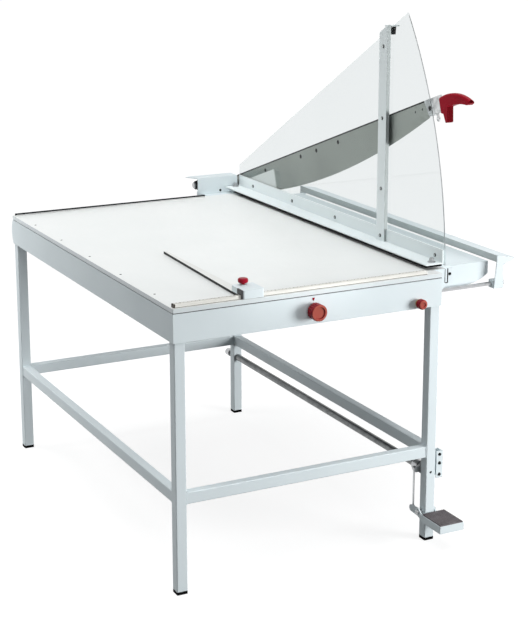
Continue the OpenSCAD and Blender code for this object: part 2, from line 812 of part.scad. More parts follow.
// Catch that hangs from the bracket, with its pin
module blade_latch() color(bright) place() {
    blade_frame(latch_x, latch_x + latch_t) difference() {
        union() {
            translate(latch_pivot) circle(latch_r);
            translate(latch_pivot - [4.5, latch_drop]) square([9, latch_drop]);
            translate(latch_pivot - [0, latch_drop]) circle(latch_r);
        }
        translate(latch_pivot - [0, latch_drop]) circle(d = 6);
    }
    blade_frame(blade_x + 0.3, latch_x + 1) translate(latch_pivot) circle(d = latch_pin_d);
}

grip_start = bracket_front + 1;
grip_end = grip_start + grip_len;
grip_round = 6;
back_r = 155;
back_c = [grip_start + 25, blade_top - 5 - back_r];
under_r = 190;
under_c = [grip_start + 45, blade_top - 37.5 - under_r];
guard_s = [grip_start + 12, grip_start + 22];
guard_round = 4;
nose_r = 6;
nose_c = [grip_end - nose_r, back_c.y + sqrt(pow(back_r, 2) - pow(grip_end - nose_r - back_c.x, 2)) - 7];
notch_w = 6;
notch_deep = 12;

// Side outline of the grip: a curved back, a round tip, a hollow underside and a finger guard
module grip_outline() {
    guard_v = bracket_low - guard_drop + guard_round;
    polygon(concat(
        [[grip_start, bracket_low - 4]],
        arc(back_c, back_r, acos((grip_start - back_c.x) / back_r), acos((nose_c.x - back_c.x) / back_r), 12),
        arc(nose_c, nose_r, 40, -100, 6),
        arc(under_c, under_r, acos((grip_end - 10 - under_c.x) / under_r), 94, 8),
        arc([guard_s[1] - guard_round, guard_v], guard_round, 0, -80, 4),
        arc([guard_s[0] + guard_round, guard_v], guard_round, -100, -180, 4),
        [[guard_s[0] - 3, bracket_low - 8]]));
}

// Moulded grip, round along its back, with a slot for the bracket's tongue and a notch in its tip
module handle_grip() color(red) place() {
    mid_x = blade_x + blade_t / 2;
    reach = back_r - 45;
    difference() {
        intersection() {
            blade_frame(mid_x - grip_w / 2, mid_x + grip_w / 2) grip_outline();
            translate([mid_x, pivot_y, pivot_z]) rotate([-blade_tilt, 0, 0]) translate([0, -back_c.x, back_c.y])
                rotate([0, 90, 0]) rotate_extrude($fn = 180)
                    translate([back_r - reach, -grip_w / 2]) round_rect([reach, grip_w], grip_round);
        }
        blade_frame(blade_x - slide_fit, blade_x2 + slide_fit) tongue_outline(slide_fit);
        blade_frame(mid_x - notch_w / 2, mid_x + notch_w / 2)
            translate([grip_end - notch_deep, nose_c.y - notch_w / 2]) square([notch_deep + 1, notch_w]);
    }
}

// Shaft that turns with the blade, with a shoulder between the bearing and the blade
shoulder_d = pivot_d + 10;
nut_t = 9;
shaft_tail = 22;

module pivot_shaft() color(bright) place() {
    bar_x(block_x - shaft_tail, blade_x2 + nut_t + 3, pivot_y, pivot_z, pivot_d);
    bar_x(knife_x - 2 + 0.3, blade_x, pivot_y, pivot_z, shoulder_d);
}

module pivot_nuts() color(dark) place() {
    across = 27;
    translate([block_x - 0.3 - nut_t, pivot_y, pivot_z]) rotate([0, 90, 0]) nut(across, nut_t, pivot_d + hole_fit);
    translate([block_x - 0.6 - 1.8 * nut_t, pivot_y, pivot_z]) rotate([0, 90, 0])
        nut(across - 3, 0.8 * nut_t, pivot_d + hole_fit);
    translate([blade_x2, pivot_y, pivot_z]) rotate([0, 90, 0]) nut(across, nut_t, pivot_d + hole_fit);
}

// Clamp

flange_screw_n = 5;
screw_end = 98.3;
last_step = (clamp_y2 - screw_end - post_y) / (flange_screw_n - 2);
flange_screw_y = concat([clamp_y + screw_start],
    [for (i = [0 : flange_screw_n - 2]) post_y + i * last_step]);
post_screw_n = 3;
post_screw_step = 190;
post_screw_low = 129;
post_screw_z = [for (i = [0 : post_screw_n - 1]) screw_z + post_screw_low + i * post_screw_step];
shield_screw_d = 5;

module flange_holes(x0, x1)
    for (y = flange_screw_y)
        bar_x(x0, x1, y, screw_z, shield_screw_d + hole_fit);

// Angle bar that presses on the paper
module clamp_bar() color(paint) place() difference() {
    pull_along_y(clamp_y, clamp_y2) {
        translate([clamp_x, clamp_z]) square([clamp_w, clamp_t]);
        translate([clamp_x2 - clamp_t, clamp_z]) square([clamp_t, clamp_h]);
    }
    for (y = pull_y)
        bar_z(clamp_z - 1, clamp_top + 1, pull_x, y, rod_d + hole_fit);
    flange_holes(clamp_x2 - clamp_t - 1, clamp_x2 + 1);
}

module clamp_rubber() color(dark) place() difference() {
    block([clamp_x + 0.5, clamp_y + 1, rubber_z], [clamp_x2 - 4, frame_d - 20, clamp_z]);
    bar_z(rubber_z - 1, clamp_z + 1, pull_x, pull_y[0], rod_d + 4);
}

// Height of the shield's sloping edge at a place along the table
function shield_edge(y) = shield_low + shield_back_h + (shield_back - y) * tan(shield_slope);

// Clear sheet: a sloping upper edge and a front edge that follows the swing of the handle
module shield() color(clear) place() pull_along_x(shield_x, shield_x + shield_t) difference() {
    intersection() {
        translate(shield_c) circle(shield_rad, $fn = 360);
        polygon([[shield_front, shield_low], [shield_back, shield_low], [shield_back, shield_edge(shield_back)],
            [shield_front, shield_edge(shield_front)]]);
    }
    for (y = flange_screw_y)
        translate([y, screw_z]) circle(d = shield_screw_d + hole_fit);
    for (z = post_screw_z)
        translate([post_y, z]) circle(d = shield_screw_d + hole_fit);
}

post_t = 3;
post_y0 = post_y - post_w / 2;
post_y1 = post_y + post_w / 2;
post_arm_z = shield_edge(post_y0) + 3;

// Channel that stiffens the shield, with an arm over its edge
module shield_post() color(paint) place() {
    difference() {
        pull_along_x(post_x, clamp_x2) polygon([[post_y0, clamp_top], [post_y1, clamp_top],
            [post_y1, shield_edge(post_y1) + post_over], [post_y0, shield_edge(post_y0) + post_over]]);
        block([post_x + post_t, post_y0 + post_t, clamp_top - 1], [clamp_x2 + 1, post_y1 - post_t, table_z * 3]);
        block([clamp_x2 - clamp_t, post_y0 - 1, clamp_top - 1], [clamp_x2 + 1, post_y1 + 1, flange_top]);
        for (z = concat([screw_z], post_screw_z))
            bar_x(post_x - 1, post_x + post_t + 1, post_y, z, shield_screw_d + hole_fit);
    }
    block([post_x + post_t, post_y0, post_arm_z], [blade_x + arm_reach - 5, post_y0 + 20, post_arm_z + post_t]);
}

bumper_d = 18;
bumper_x = shield_x + shield_t + 1 + bumper_d / 2;

// Rubber stop for the raised blade
module post_bumper() color(dark) place()
    translate([bumper_x, post_y0 + 10, post_arm_z - bumper_h])
        cylinder(h = bumper_h, d1 = bumper_d - 3, d2 = bumper_d);

module shield_screws() color(bright) place() {
    for (i = [0 : flange_screw_n - 1])
        translate([i == 1 ? post_x : clamp_x2 - clamp_t, flange_screw_y[i], screw_z]) rotate([0, 90, 0])
            screw(shield_screw_d, shield_x + shield_t - (i == 1 ? post_x : clamp_x2 - clamp_t), 10, 3);
    for (z = post_screw_z)
        translate([post_x, post_y, z]) rotate([0, 90, 0])
            screw(shield_screw_d, shield_x + shield_t - post_x, 10, 3);
}

// Rods that draw the clamp down, each with a collar for its spring
module pull_rods() color(bright) place()
    for (y = pull_y) {
        bar_z(rod_low, clamp_top + 12, pull_x, y, rod_d);
        bar_z(spring_seat + spring_len, spring_seat + spring_len + collar_h, pull_x, y, spring_d - 1);
    }

module clamp_nuts() color(bright) place()
    for (y = pull_y) {
        lever_face = torsion_z - eye_r - lever_gap;
        translate([pull_x, y, clamp_top]) washer(20);
        translate([pull_x, y, clamp_top + washer_t]) nut(13, 7, rod_d + hole_fit);
        translate([pull_x, y, lever_face - washer_t]) washer(17);
        translate([pull_x, y, lever_face - washer_t - nut_h]) nut(13, nut_h, rod_d + hole_fit);
    }

module washer(d) difference() {
    cylinder(h = washer_t, d = d);
    translate([0, 0, -1]) cylinder(h = washer_t + 2, d = rod_d + hole_fit);
}

// Return springs: each is one tube swept along a helix, with closed ends cut by their seats

spring_r = (spring_d - spring_wire) / 2;
curl_rings = 8;
wire_sides = 6;
spring_rings = spring_turns * curl_rings;

function helix(t) = [spring_r * cos(360 * t), spring_r * sin(360 * t),
    spring_wire / 2 + 0.3 + (spring_len - spring_wire - 0.6) * t / spring_turns];
function wire_ring(t) = let (c = helix(t), a = 360 * t)
    [for (k = [0 : wire_sides - 1]) let (b = 360 * k / wire_sides)
        c + spring_wire / 2 * [cos(b) * cos(a), cos(b) * sin(a), sin(b)]];
spring_points = [for (i = [0 : spring_rings]) each wire_ring(i / curl_rings)];
spring_sides = [for (i = [0 : spring_rings - 1], k = [0 : wire_sides - 1])
    let (a = i * wire_sides + k, b = i * wire_sides + (k + 1) % wire_sides)
    each [[a, b + wire_sides, b], [a, a + wire_sides, b + wire_sides]]];
last_ring = spring_rings * wire_sides;
spring_ends = [for (k = [1 : wire_sides - 2])
    each [[0, k, k + 1], [last_ring, last_ring + k + 1, last_ring + k]]];
spring_gap = helix(1).z - helix(0).z - spring_wire;
echo(spring_gap = spring_gap);

module return_springs() color(steel) place()
    for (y = pull_y)
        translate([pull_x, y, spring_seat]) polyhedron(spring_points, concat(spring_sides, spring_ends));

// Pedal and torsion shaft

main_y = [leg_s + 3, rear_leg_y - 3];

module torsion_shaft() color(steel) place() {
    bar_y(main_y[0], main_y[1], torsion_x, torsion_z, torsion_d);
    bar_y(leg_wall + 2, main_y[0] + 1, torsion_x, torsion_z, journal_d);
    bar_y(main_y[1] - 1, pull_y[1] + lever_t / 2 + 2, torsion_x, torsion_z, journal_d);
}

boss_wall = 6;
link_arm = torsion_x - link_x;
pedal_lever_t = 7;
pedal_lever_y = link_y - 5 - pedal_lever_t;

// Outline in (x, z) of a lever from the shaft to an eye at one side
module lever_outline(bore, reach, eye) {
    hub = bore / 2 + boss_wall;
    neck = reach - sign(reach) * (eye + 2);
    difference() {
        union() {
            circle(hub);
            translate([reach, 0]) circle(eye);
            polygon([[0, hub], [neck, eye], [reach, eye], [reach, -eye], [neck, -eye], [0, -hub]]);
        }
        circle(d = bore + 2 * run_fit);
    }
}

// Forked lever that draws a rod down
module pull_lever(y, bore) difference() {
    pull_along_y(y - lever_t / 2, y + lever_t / 2)
        translate([torsion_x, torsion_z]) lever_outline(bore, pull_x - torsion_x, eye_r);
    fork = rod_d + 2;
    inner = torsion_x + bore / 2 + boss_wall + 0.5;
    block([min(inner, pull_x - rod_d / 2 - 3), y - fork / 2, torsion_z - 3 * eye_r],
        [pull_x + 3 * eye_r, y + fork / 2, torsion_z + 3 * eye_r]);
}

module shaft_levers() color(steel) place() {
    pull_lever(pull_y[0], torsion_d);
    pull_lever(pull_y[1], journal_d);
    pull_along_y(pedal_lever_y, pedal_lever_y + pedal_lever_t)
        translate([torsion_x, torsion_z]) lever_outline(torsion_d, -link_arm, eye_r);
    bar_y(pedal_lever_y, link_y + 5, link_x, torsion_z, link_pin_d);
}

// Link between the pedal and its lever, with crossed eyes
module pedal_link() color(bright) place() difference() {
    union() {
        bar_z(pedal_z + 4, torsion_z - 4, link_x, link_y, link_d);
        bar_y(link_y - 4, link_y + 0.5, link_x, torsion_z, 2 * link_pin_d);
        bar_x(link_x - 3, link_x + 3, link_y, pedal_z, 2 * link_pin_d + 2 * pivot_slack);
    }
    bar_y(link_y - 5, link_y + 5, link_x, torsion_z, link_pin_d + 2 * run_fit);
    bar_x(link_x - 5, link_x + 5, link_y, pedal_z, link_pin_d + 2 * pivot_slack);
}

pedal_x2 = pedal_x + pedal_w;
right_arm_x = frame_w + 3;
pedal_top = pedal_z - 2;
pedal_back = -4;

// Folded pedal plate whose arms straddle the leg
module pedal() color(paint) place() {
    block([pedal_x, -pedal_reach, pedal_top - arm_t], [pedal_x2, pedal_back, pedal_top]);
    block([pedal_x, -pedal_reach, pedal_top - plate_h], [pedal_x2, -pedal_reach + arm_t, pedal_top]);
    block([pedal_x2 - arm_t, -pedal_reach, pedal_top - plate_h + 3], [pedal_x2, pedal_back, pedal_top]);
    difference() {
        union() {
            pull_along_x(pedal_x, pedal_x + arm_t) {
                polygon([[-pedal_reach, pedal_top - plate_h], [-pedal_reach, pedal_top], [pedal_back, pedal_top],
                    [pedal_y, pedal_z + 11], [link_y, pedal_z + 9], [link_y, pedal_z - 9],
                    [pedal_y, pedal_z - 11], [-12, pedal_top - plate_h]]);
                translate([link_y, pedal_z]) circle(9);
            }
            pull_along_x(right_arm_x, right_arm_x + arm_t) {
                polygon([[-40, pedal_top - plate_h + 2], [-40, pedal_top - 1], [pedal_back, pedal_top],
                    [pedal_y - 4, pedal_z + 10], [pedal_y, pedal_z + 10], [pedal_y, pedal_z - 10]]);
                translate([pedal_y, pedal_z]) circle(10);
            }
        }
        bar_x(pedal_x - 1, right_arm_x + arm_t + 1, pedal_y, pedal_z, pedal_pin_d + 2 * run_fit);
    }
    bar_x(pedal_x + arm_t, link_x + 4, link_y, pedal_z, link_pin_d);
}

pad_in = 2;
rib_n = 13;

// Ribbed rubber tread
module pedal_pad() color([0.36, 0.32, 0.33]) place() {
    low = [pedal_x + pad_in, -pedal_reach + pad_in, pedal_top];
    high = [pedal_x2 - pad_in, pedal_back - pad_in, pedal_top + pad_t - 1];
    block(low, high);
    rib_step = (high.x - low.x) / rib_n;
    for (i = [0 : rib_n - 1])
        block([low.x + i * rib_step, low.y, high.z], [low.x + (i + 0.6) * rib_step, high.y, high.z + 1]);
}

module pedal_pin() color(bright) place() difference() {
    union() {
        bar_x(pedal_x - 2, right_arm_x + arm_t + 2, pedal_y, pedal_z, pedal_pin_d);
        bar_x(pedal_x - 4, pedal_x - 0.3, pedal_y, pedal_z, pedal_pin_d + 5);
        bar_x(right_arm_x + arm_t + 0.3, right_arm_x + arm_t + 4, pedal_y, pedal_z, pedal_pin_d + 5);
    }
    block([pedal_x - 5, pedal_y - 8, pedal_z - 0.6], [pedal_x - 3, pedal_y + 8, pedal_z + 0.6]);
}

// Back gauge

slider_w = 57;
slider_h = 21;
slider_front = 5;
slider_back = 45;
gauge_rise = 0.6;
bar_t = 6.4;
bar_w = 28;
bar_tip = 8;
slider_low = table_z + gauge_rise;
bar_top = slider_low + bar_t;
slider_top = slider_low + slider_h;
stem_d = 8;
gauge_knob_d = 25;
gauge_knob_at = [gauge_x + 25, lay_y + lay_d + 32];

// Saddle that runs on the front lay
module gauge_slider() color(paint) place() difference() {
    union() {
        translate([gauge_x, lay_y - slider_front, slider_low]) linear_extrude(slider_h)
            round_rect([slider_w, slider_front + lay_d + slider_back], 5);
        bar_z(slider_top, slider_top + 2, gauge_knob_at.x, gauge_knob_at.y, gauge_knob_d - 5);
    }
    block([gauge_x - 1, lay_y - slide_fit, slider_low - 1],
        [gauge_x + slider_w + 1, lay_y + lay_d + slide_fit, table_z + lay_h + slide_fit]);
    block([gauge_x - 1, lay_y + lay_d, slider_low - 1],
        [gauge_x + slider_w + 1, lay_y + lay_d + slider_back + 1, bar_top]);
    bar_z(slider_top - 12, slider_top + 3, gauge_knob_at.x, gauge_knob_at.y, stem_d + 2 * run_fit);
}

// Tapered bar parallel to the cutting line
module gauge_bar() color(paint) place() translate([gauge_x, lay_y + lay_d + 1, slider_low]) linear_extrude(bar_t)
    polygon([[0, 0], [bar_w, 0], [bar_w, gauge_len], [bar_w - bar_tip, gauge_len], [0, slider_back]]);

module gauge_knob() color(red) place() translate([gauge_knob_at.x, gauge_knob_at.y, slider_top])
    rotate_extrude() polygon(concat([[0, -10], [stem_d / 2, -10], [stem_d / 2, 6], [gauge_knob_d / 2 - 3, 6]],
        arc([gauge_knob_d / 2 - 3, 9], 3, -90, 0, 4), arc([gauge_knob_d / 2 - 4, 13], 4, 0, 90, 5),
        [[0, 17.5]]));

// Strip gauge

// Folded rail with an upright face and a sloping top
module strip_rail() color(paint) place() pull_along_y(rail_y + bracket_t, rail_y2 - bracket_t)
    translate([rail_x, rail_low]) polygon([[0, 0], [0, rail_h], [rail_w, rail_h - rail_fall],
        [rail_w, rail_h - rail_fall - rail_lip], [rail_w - rail_t, rail_h - rail_fall - rail_lip],
        [rail_w - rail_t, rail_h - rail_fall - rail_t], [rail_t, rail_h - 1.3 * rail_t], [rail_t, 0]]);

foot_w = 30;
foot_z = guide_z - guide_d / 2 - 6;

module rail_end_outline() polygon([[rail_x, rail_top], [rail_x + rail_w, rail_top - rail_fall],
    [rail_x + rail_w, rail_top - rail_fall - 3], [rail_x + 18, rail_low - 10],
    [rail_x + foot_w - 7, foot_z], [rail_x - 7, foot_z], [rail_x, rail_low]]);

// End plates of the rail, each with a clamp block on its guide rod
module rail_brackets() color(paint) place() difference() {
    union() {
        pull_along_y(rail_y, rail_y + bracket_t) rail_end_outline();
        pull_along_y(rail_y2 - bracket_t, rail_y2) rail_end_outline();
        for (i = [0, 1])
            block([rail_x - 7, i == 0 ? rail_y + bracket_t : guide_y[1] - guide_d, foot_z],
                [rail_x - 7 + foot_w, i == 0 ? guide_y[0] + guide_d : rail_y2 - bracket_t, guide_z + guide_d]);
    }
    for (y = guide_y)
        bar_x(rail_x - 10, rail_x + foot_w, y, guide_z, guide_d + 2 * run_fit);
}

tooth_p = PI * module_m;
backlash = 0.25;
press_a = 20;
rack_root = 1.25 * module_m;
rack_x = knob_x - rack_len * 0.26;
tooth_n = floor(rack_len / tooth_p) - 2;
first_tooth = -floor((knob_x - rack_x) / tooth_p) + 1;

// Outline in (x, z) of the rack: trapezoid teeth on a plain bar
module rack_outline() {
    half = tooth_p / 4 - backlash / 2;
    translate([rack_x, guide_z - guide_d / 2]) square([rack_len, guide_d - rack_root]);
    for (i = [0 : tooth_n - 1])
        translate([knob_x + (first_tooth + i) * tooth_p, rack_z])
            polygon([[-half - rack_root * tan(press_a), -rack_root - eps],
                [-half + module_m * tan(press_a), module_m],
                [half - module_m * tan(press_a), module_m],
                [half + rack_root * tan(press_a), -rack_root - eps]]);
}

// Round rods whose left ends are cut as racks
module guide_rods() color(bright) place()
    for (y = guide_y) {
        pull_along_y(y - guide_d / 2, y + guide_d / 2) rack_outline();
        bar_x(rack_x + rack_len, rail_x + foot_w + 2, y, guide_z, guide_d);
        translate([rail_x - 7 + foot_w, y, guide_z]) rotate([0, 90, 0]) nut(16, 7, guide_d - eps);
    }

// Involute pinion with a tooth gap below its centre
base_r = pitch_r * cos(press_a);
tip_r = pitch_r + module_m;
root_r = pitch_r - rack_root;
function involute(a) = tan(a) * 180 / PI - a;
function flank_angle(r) = involute(acos(min(1, base_r / r)));
pitch_half = 90 / teeth - backlash / 2 / pitch_r * 180 / PI;
function tooth_half(r) = pitch_half + involute(press_a) - flank_angle(r);
function polar(r, a) = r * [cos(a), sin(a)];
flank_r = [root_r, base_r, pitch_r - 0.4, pitch_r + 0.5, tip_r];

module pinion_outline() polygon([for (i = [0 : teeth - 1]) let (a = -90 + (i + 0.5) * 360 / teeth)
    each concat([for (r = flank_r) polar(r, a - tooth_half(max(r, base_r)))],
        [for (k = [len(flank_r) - 1 : -1 : 0]) polar(flank_r[k], a + tooth_half(max(flank_r[k], base_r)))])]);

module pinions() color(bronze) place()
    for (y = guide_y)
        pull_along_y(y - pinion_w / 2, y + pinion_w / 2) translate([knob_x, knob_z]) difference() {
            pinion_outline();
            circle(d = shaft_d + 2 * run_fit);
        }

module knob_shaft() color(bright) place()
    bar_y(-knob_l + 4, guide_y[1] + housing_w / 2 + 6, knob_x, knob_z, shaft_d);

knob_l = 36;
flute_n = 20;
flute_d = 5;
flute_in = 1.3;
plain_rim = 7;
knob_back = sheet_t + 2.3;

// Turned knob: a fluted wheel with a plain rim in front and a recessed face
module setting_knob() color(red) place() translate([knob_x, -knob_back, knob_z]) rotate([90, 0, 0]) difference() {
    rotate_extrude() polygon(concat([[0, 0], [knob_d / 2 - 6, 0], [knob_d / 2 - 6, 5]],
        arc([knob_d / 2 - 2, 7], 2, -90, 0, 4), arc([knob_d / 2 - 2, knob_l - knob_back - 2], 2, 0, 90, 4),
        [[knob_d / 2 - 6, knob_l - knob_back], [knob_d / 2 - 7, knob_l - knob_back - 3],
            [0, knob_l - knob_back - 3]]));
    translate([0, 0, -1]) cylinder(h = knob_l - knob_back - 3, d = shaft_d + 2 * run_fit);
    for (i = [0 : flute_n - 1])
        rotate(i * 360 / flute_n) translate([knob_d / 2 + flute_d / 2 - flute_in, 0, -1])
            cylinder(h = knob_l - knob_back - plain_rim + 1, d = flute_d);
}

lock_knob_d = 26;
lock_back = sheet_t + 5.3;
lock_l = 19;

module lock_knob() color(red) place() translate([lock_at, -lock_back, guide_z]) rotate([90, 0, 0]) {
    rotate_extrude() polygon(concat([[0, 0], [lock_knob_d / 2 - 3, 0]],
        arc([lock_knob_d / 2 - 2, 4], 2, -60, 0, 3), arc([lock_knob_d / 2 - 5, lock_l - 5], 5, 0, 75, 5),
        [[6, lock_l - 0.1], [5, lock_l - 2], [0, lock_l - 2]]));
    screw_len = guide_y[0] - guide_d / 2 + lock_back - 0.5;
    translate([0, 0, -screw_len]) cylinder(h = screw_len + 1, d = lock_screw_d);
}

front_left_leg();
front_right_leg();
rear_left_leg();
rear_right_leg();
feet();
front_stretcher();
rear_stretcher();
left_stretcher();
right_stretcher();
front_apron();
left_apron();
rear_apron();
knife_beam();
table_top();
bed_knife();
knife_screws();
front_lay();
back_lay();
latch_plate();
offcut_tray();
tray_arms();
pivot_bearing();
pivot_cover();
panel_screws();
lever_guard();
bushes();
rack_housings();
index_pointer();
blade();
handle_bracket();
handle_grip();
bracket_screws();
pivot_shaft();
pivot_nuts();
blade_latch();
clamp_bar();
clamp_rubber();
shield();
shield_post();
post_bumper();
shield_screws();
pull_rods();
clamp_nuts();
return_springs();
torsion_shaft();
shaft_levers();
pedal_link();
pedal();
pedal_pad();
pedal_pin();
gauge_slider();
gauge_bar();
gauge_knob();
strip_rail();
rail_brackets();
guide_rods();
knob_shaft();
pinions();
setting_knob();
lock_knob();
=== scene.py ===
import json
import math

import bmesh
import bpy
from mathutils import Matrix, Vector


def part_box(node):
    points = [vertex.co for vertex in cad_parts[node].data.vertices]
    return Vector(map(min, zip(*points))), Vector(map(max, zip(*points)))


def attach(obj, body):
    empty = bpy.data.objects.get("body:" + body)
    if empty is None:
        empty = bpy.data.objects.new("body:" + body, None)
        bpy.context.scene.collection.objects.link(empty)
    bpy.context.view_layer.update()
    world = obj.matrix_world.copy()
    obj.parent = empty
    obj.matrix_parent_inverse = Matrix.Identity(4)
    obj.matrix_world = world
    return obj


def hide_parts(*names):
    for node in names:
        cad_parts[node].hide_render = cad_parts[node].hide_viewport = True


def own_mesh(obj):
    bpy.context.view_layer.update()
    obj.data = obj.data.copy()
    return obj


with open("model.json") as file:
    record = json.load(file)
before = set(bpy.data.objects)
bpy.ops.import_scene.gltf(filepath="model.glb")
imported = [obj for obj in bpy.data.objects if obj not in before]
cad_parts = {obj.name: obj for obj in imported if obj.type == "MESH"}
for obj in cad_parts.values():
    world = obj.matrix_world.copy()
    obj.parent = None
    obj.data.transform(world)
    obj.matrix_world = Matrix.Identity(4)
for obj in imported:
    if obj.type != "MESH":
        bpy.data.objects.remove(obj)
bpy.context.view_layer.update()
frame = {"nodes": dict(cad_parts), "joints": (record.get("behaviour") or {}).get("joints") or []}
nodes = frame["nodes"]
joints = {joint["name"]: joint for joint in frame["joints"]}
scene = bpy.context.scene

MM = 0.001
LEFT, FRONT = 0, 1  # the axes that a piece's left and front faces look against
SQUARE_ON = 0.7  # a normal's share along an axis, on a face that looks along it
HALF_ON = 0.5  # the same, on a face that may lean further
NOISE_LOW, NOISE_HIGH = 0.3, 0.7  # most of a noise lies between these

# The blade, in metres out from its pivot along its holes, and up from that line
BLADE_TILT = math.radians(19)
BLADE_BACK = 0.0195
BLADE_HOLES = (0.210, 0.450, 0.550, 0.682)


# Finishes

def finish(name, metal=0.0):
    """A new material: its node tree, its shader and its Object coordinates."""
    material = bpy.data.materials.new(name)
    material.use_nodes = True
    tree = material.node_tree
    shader = tree.nodes["Principled BSDF"]
    shader.inputs["Metallic"].default_value = metal
    place = tree.nodes.new("ShaderNodeTexCoord").outputs["Object"]
    return material, tree, shader, place


def turned(tree, place, scale=(1, 1, 1), turn=(0, 0, 0)):
    """Coordinates stretched or turned along the grain of a piece."""
    mapping = tree.nodes.new("ShaderNodeMapping")
    mapping.inputs["Rotation"].default_value = turn
    mapping.inputs["Scale"].default_value = scale
    tree.links.new(place, mapping.inputs["Vector"])
    return mapping.outputs["Vector"]


def speckle(tree, place, scale, detail=3.0, rough=0.55):
    """Noise with about this many specks to the metre."""
    noise = tree.nodes.new("ShaderNodeTexNoise")
    noise.inputs["Scale"].default_value = scale
    noise.inputs["Detail"].default_value = detail
    noise.inputs["Roughness"].default_value = rough
    tree.links.new(place, noise.inputs["Vector"])
    return noise.outputs["Fac"]


def clouded(tree, noise, dark, light, full=NOISE_HIGH):
    """A colour that wanders between two tones, and is all light where the noise is full."""
    node = tree.nodes.new("ShaderNodeValToRGB")
    for stop, at, colour in zip(node.color_ramp.elements, (NOISE_LOW, full), (dark, light)):
        stop.position = at
        stop.color = (*colour, 1)
    tree.links.new(noise, node.inputs["Fac"])
    return node.outputs["Color"]


def span(tree, value, low, high, to_low, to_high):
    """A value carried from one range to another."""
    node = tree.nodes.new("ShaderNodeMapRange")
    for socket, number in (("From Min", low), ("From Max", high), ("To Min", to_low), ("To Max", to_high)):
        node.inputs[socket].default_value = number
    tree.links.new(value, node.inputs["Value"])
    return node.outputs["Result"]


def sums(tree, work, a, b=None):
    """One step of arithmetic on one or two values, each a socket or a number."""
    node = tree.nodes.new("ShaderNodeMath")
    node.operation = work
    for socket, value in zip(node.inputs, (a, b)):
        if value is None:
            continue
        if isinstance(value, (int, float)):
            socket.default_value = value
        else:
            tree.links.new(value, socket)
    return node.outputs["Value"]


def laid_over(tree, amount, under, over):
    """One colour over another, by amount."""
    node = tree.nodes.new("ShaderNodeMix")
    node.data_type = "RGBA"
    for socket, value in ((node.inputs[0], amount), (node.inputs[6], under), (node.inputs[7], over)):
        if isinstance(value, tuple):
            socket.default_value = (*value, 1)
        else:
            tree.links.new(value, socket)
    return node.outputs[2]


def axes(tree, place):
    """The x, y and z of a vector."""
    node = tree.nodes.new("ShaderNodeSeparateXYZ")
    tree.links.new(place, node.inputs["Vector"])
    return node.outputs


def flat_faces(tree):
    """The x, y and z of the normal of a flat face."""
    return axes(tree, tree.nodes.new("ShaderNodeNewGeometry").outputs["True Normal"])


def own_faces(tree):
    """The x, y and z of a piece's normal, which turn with the piece."""
    return axes(tree, tree.nodes.new("ShaderNodeTexCoord").outputs["Normal"])


def faced(tree, body, face):
    """The body's colour, with another on the faces that look against one axis."""
    if face is None:
        return body
    axis, colour = face
    looks_back = sums(tree, "LESS_THAN", own_faces(tree)[axis], -SQUARE_ON)
    return laid_over(tree, looks_back, body, colour)


def rounded_edges(tree, radius):
    """The normal of a piece whose sharp edges are broken by this radius."""
    node = tree.nodes.new("ShaderNodeBevel")
    node.samples = 4
    node.inputs["Radius"].default_value = radius
    return node.outputs["Normal"]


def edge_rub(tree, normal):
    """How far the broken edge turns from the flat face: 0 on the face, near 1 on the corner."""
    flat = tree.nodes.new("ShaderNodeNewGeometry").outputs["Normal"]
    dot = tree.nodes.new("ShaderNodeVectorMath")
    dot.operation = "DOT_PRODUCT"
    tree.links.new(normal, dot.inputs[0])
    tree.links.new(flat, dot.inputs[1])
    on_face, on_corner = 0.995, 0.8
    return span(tree, dot.outputs["Value"], on_face, on_corner, 0.0, 1.0)


def grain(tree, shader, height, strength, depth, normal=None):
    """Bump of a skin or of tool marks, over the broken edges where they are given."""
    bump = tree.nodes.new("ShaderNodeBump")
    bump.inputs["Strength"].default_value = strength
    bump.inputs["Distance"].default_value = depth
    tree.links.new(height, bump.inputs["Height"])
    if normal is not None:
        tree.links.new(normal, bump.inputs["Normal"])
    tree.links.new(bump.outputs["Normal"], shader.inputs["Normal"])


def uneven_gloss(tree, shader, noise, rough, spread):
    """Roughness that wanders from a value up to one a little higher."""
    tree.links.new(span(tree, noise, NOISE_LOW, NOISE_HIGH, rough, rough + spread), shader.inputs["Roughness"])


def sheet_paint(name, dark, light, edge, face=None):
    """Satin stoved paint on folded steel: faint cloudiness, orange peel, edges a little rubbed."""
    material, tree, shader, place = finish(name)
    cloud = speckle(tree, place, scale=6.0, detail=4.0)
    body = faced(tree, clouded(tree, cloud, dark, light, full=0.72), face)
    normal = rounded_edges(tree, radius=1.2 * MM)
    rub = sums(tree, "MULTIPLY", edge_rub(tree, normal), speckle(tree, place, scale=90.0))
    tree.links.new(laid_over(tree, rub, body, edge), shader.inputs["Base Color"])
    uneven_gloss(tree, shader, speckle(tree, place, scale=24.0), rough=0.40, spread=0.12)
    peel = speckle(tree, place, scale=520.0, detail=2.0)
    grain(tree, shader, peel, strength=0.10, depth=0.6 * MM, normal=normal)
    shader.inputs["Specular IOR Level"].default_value = 0.2
    return material


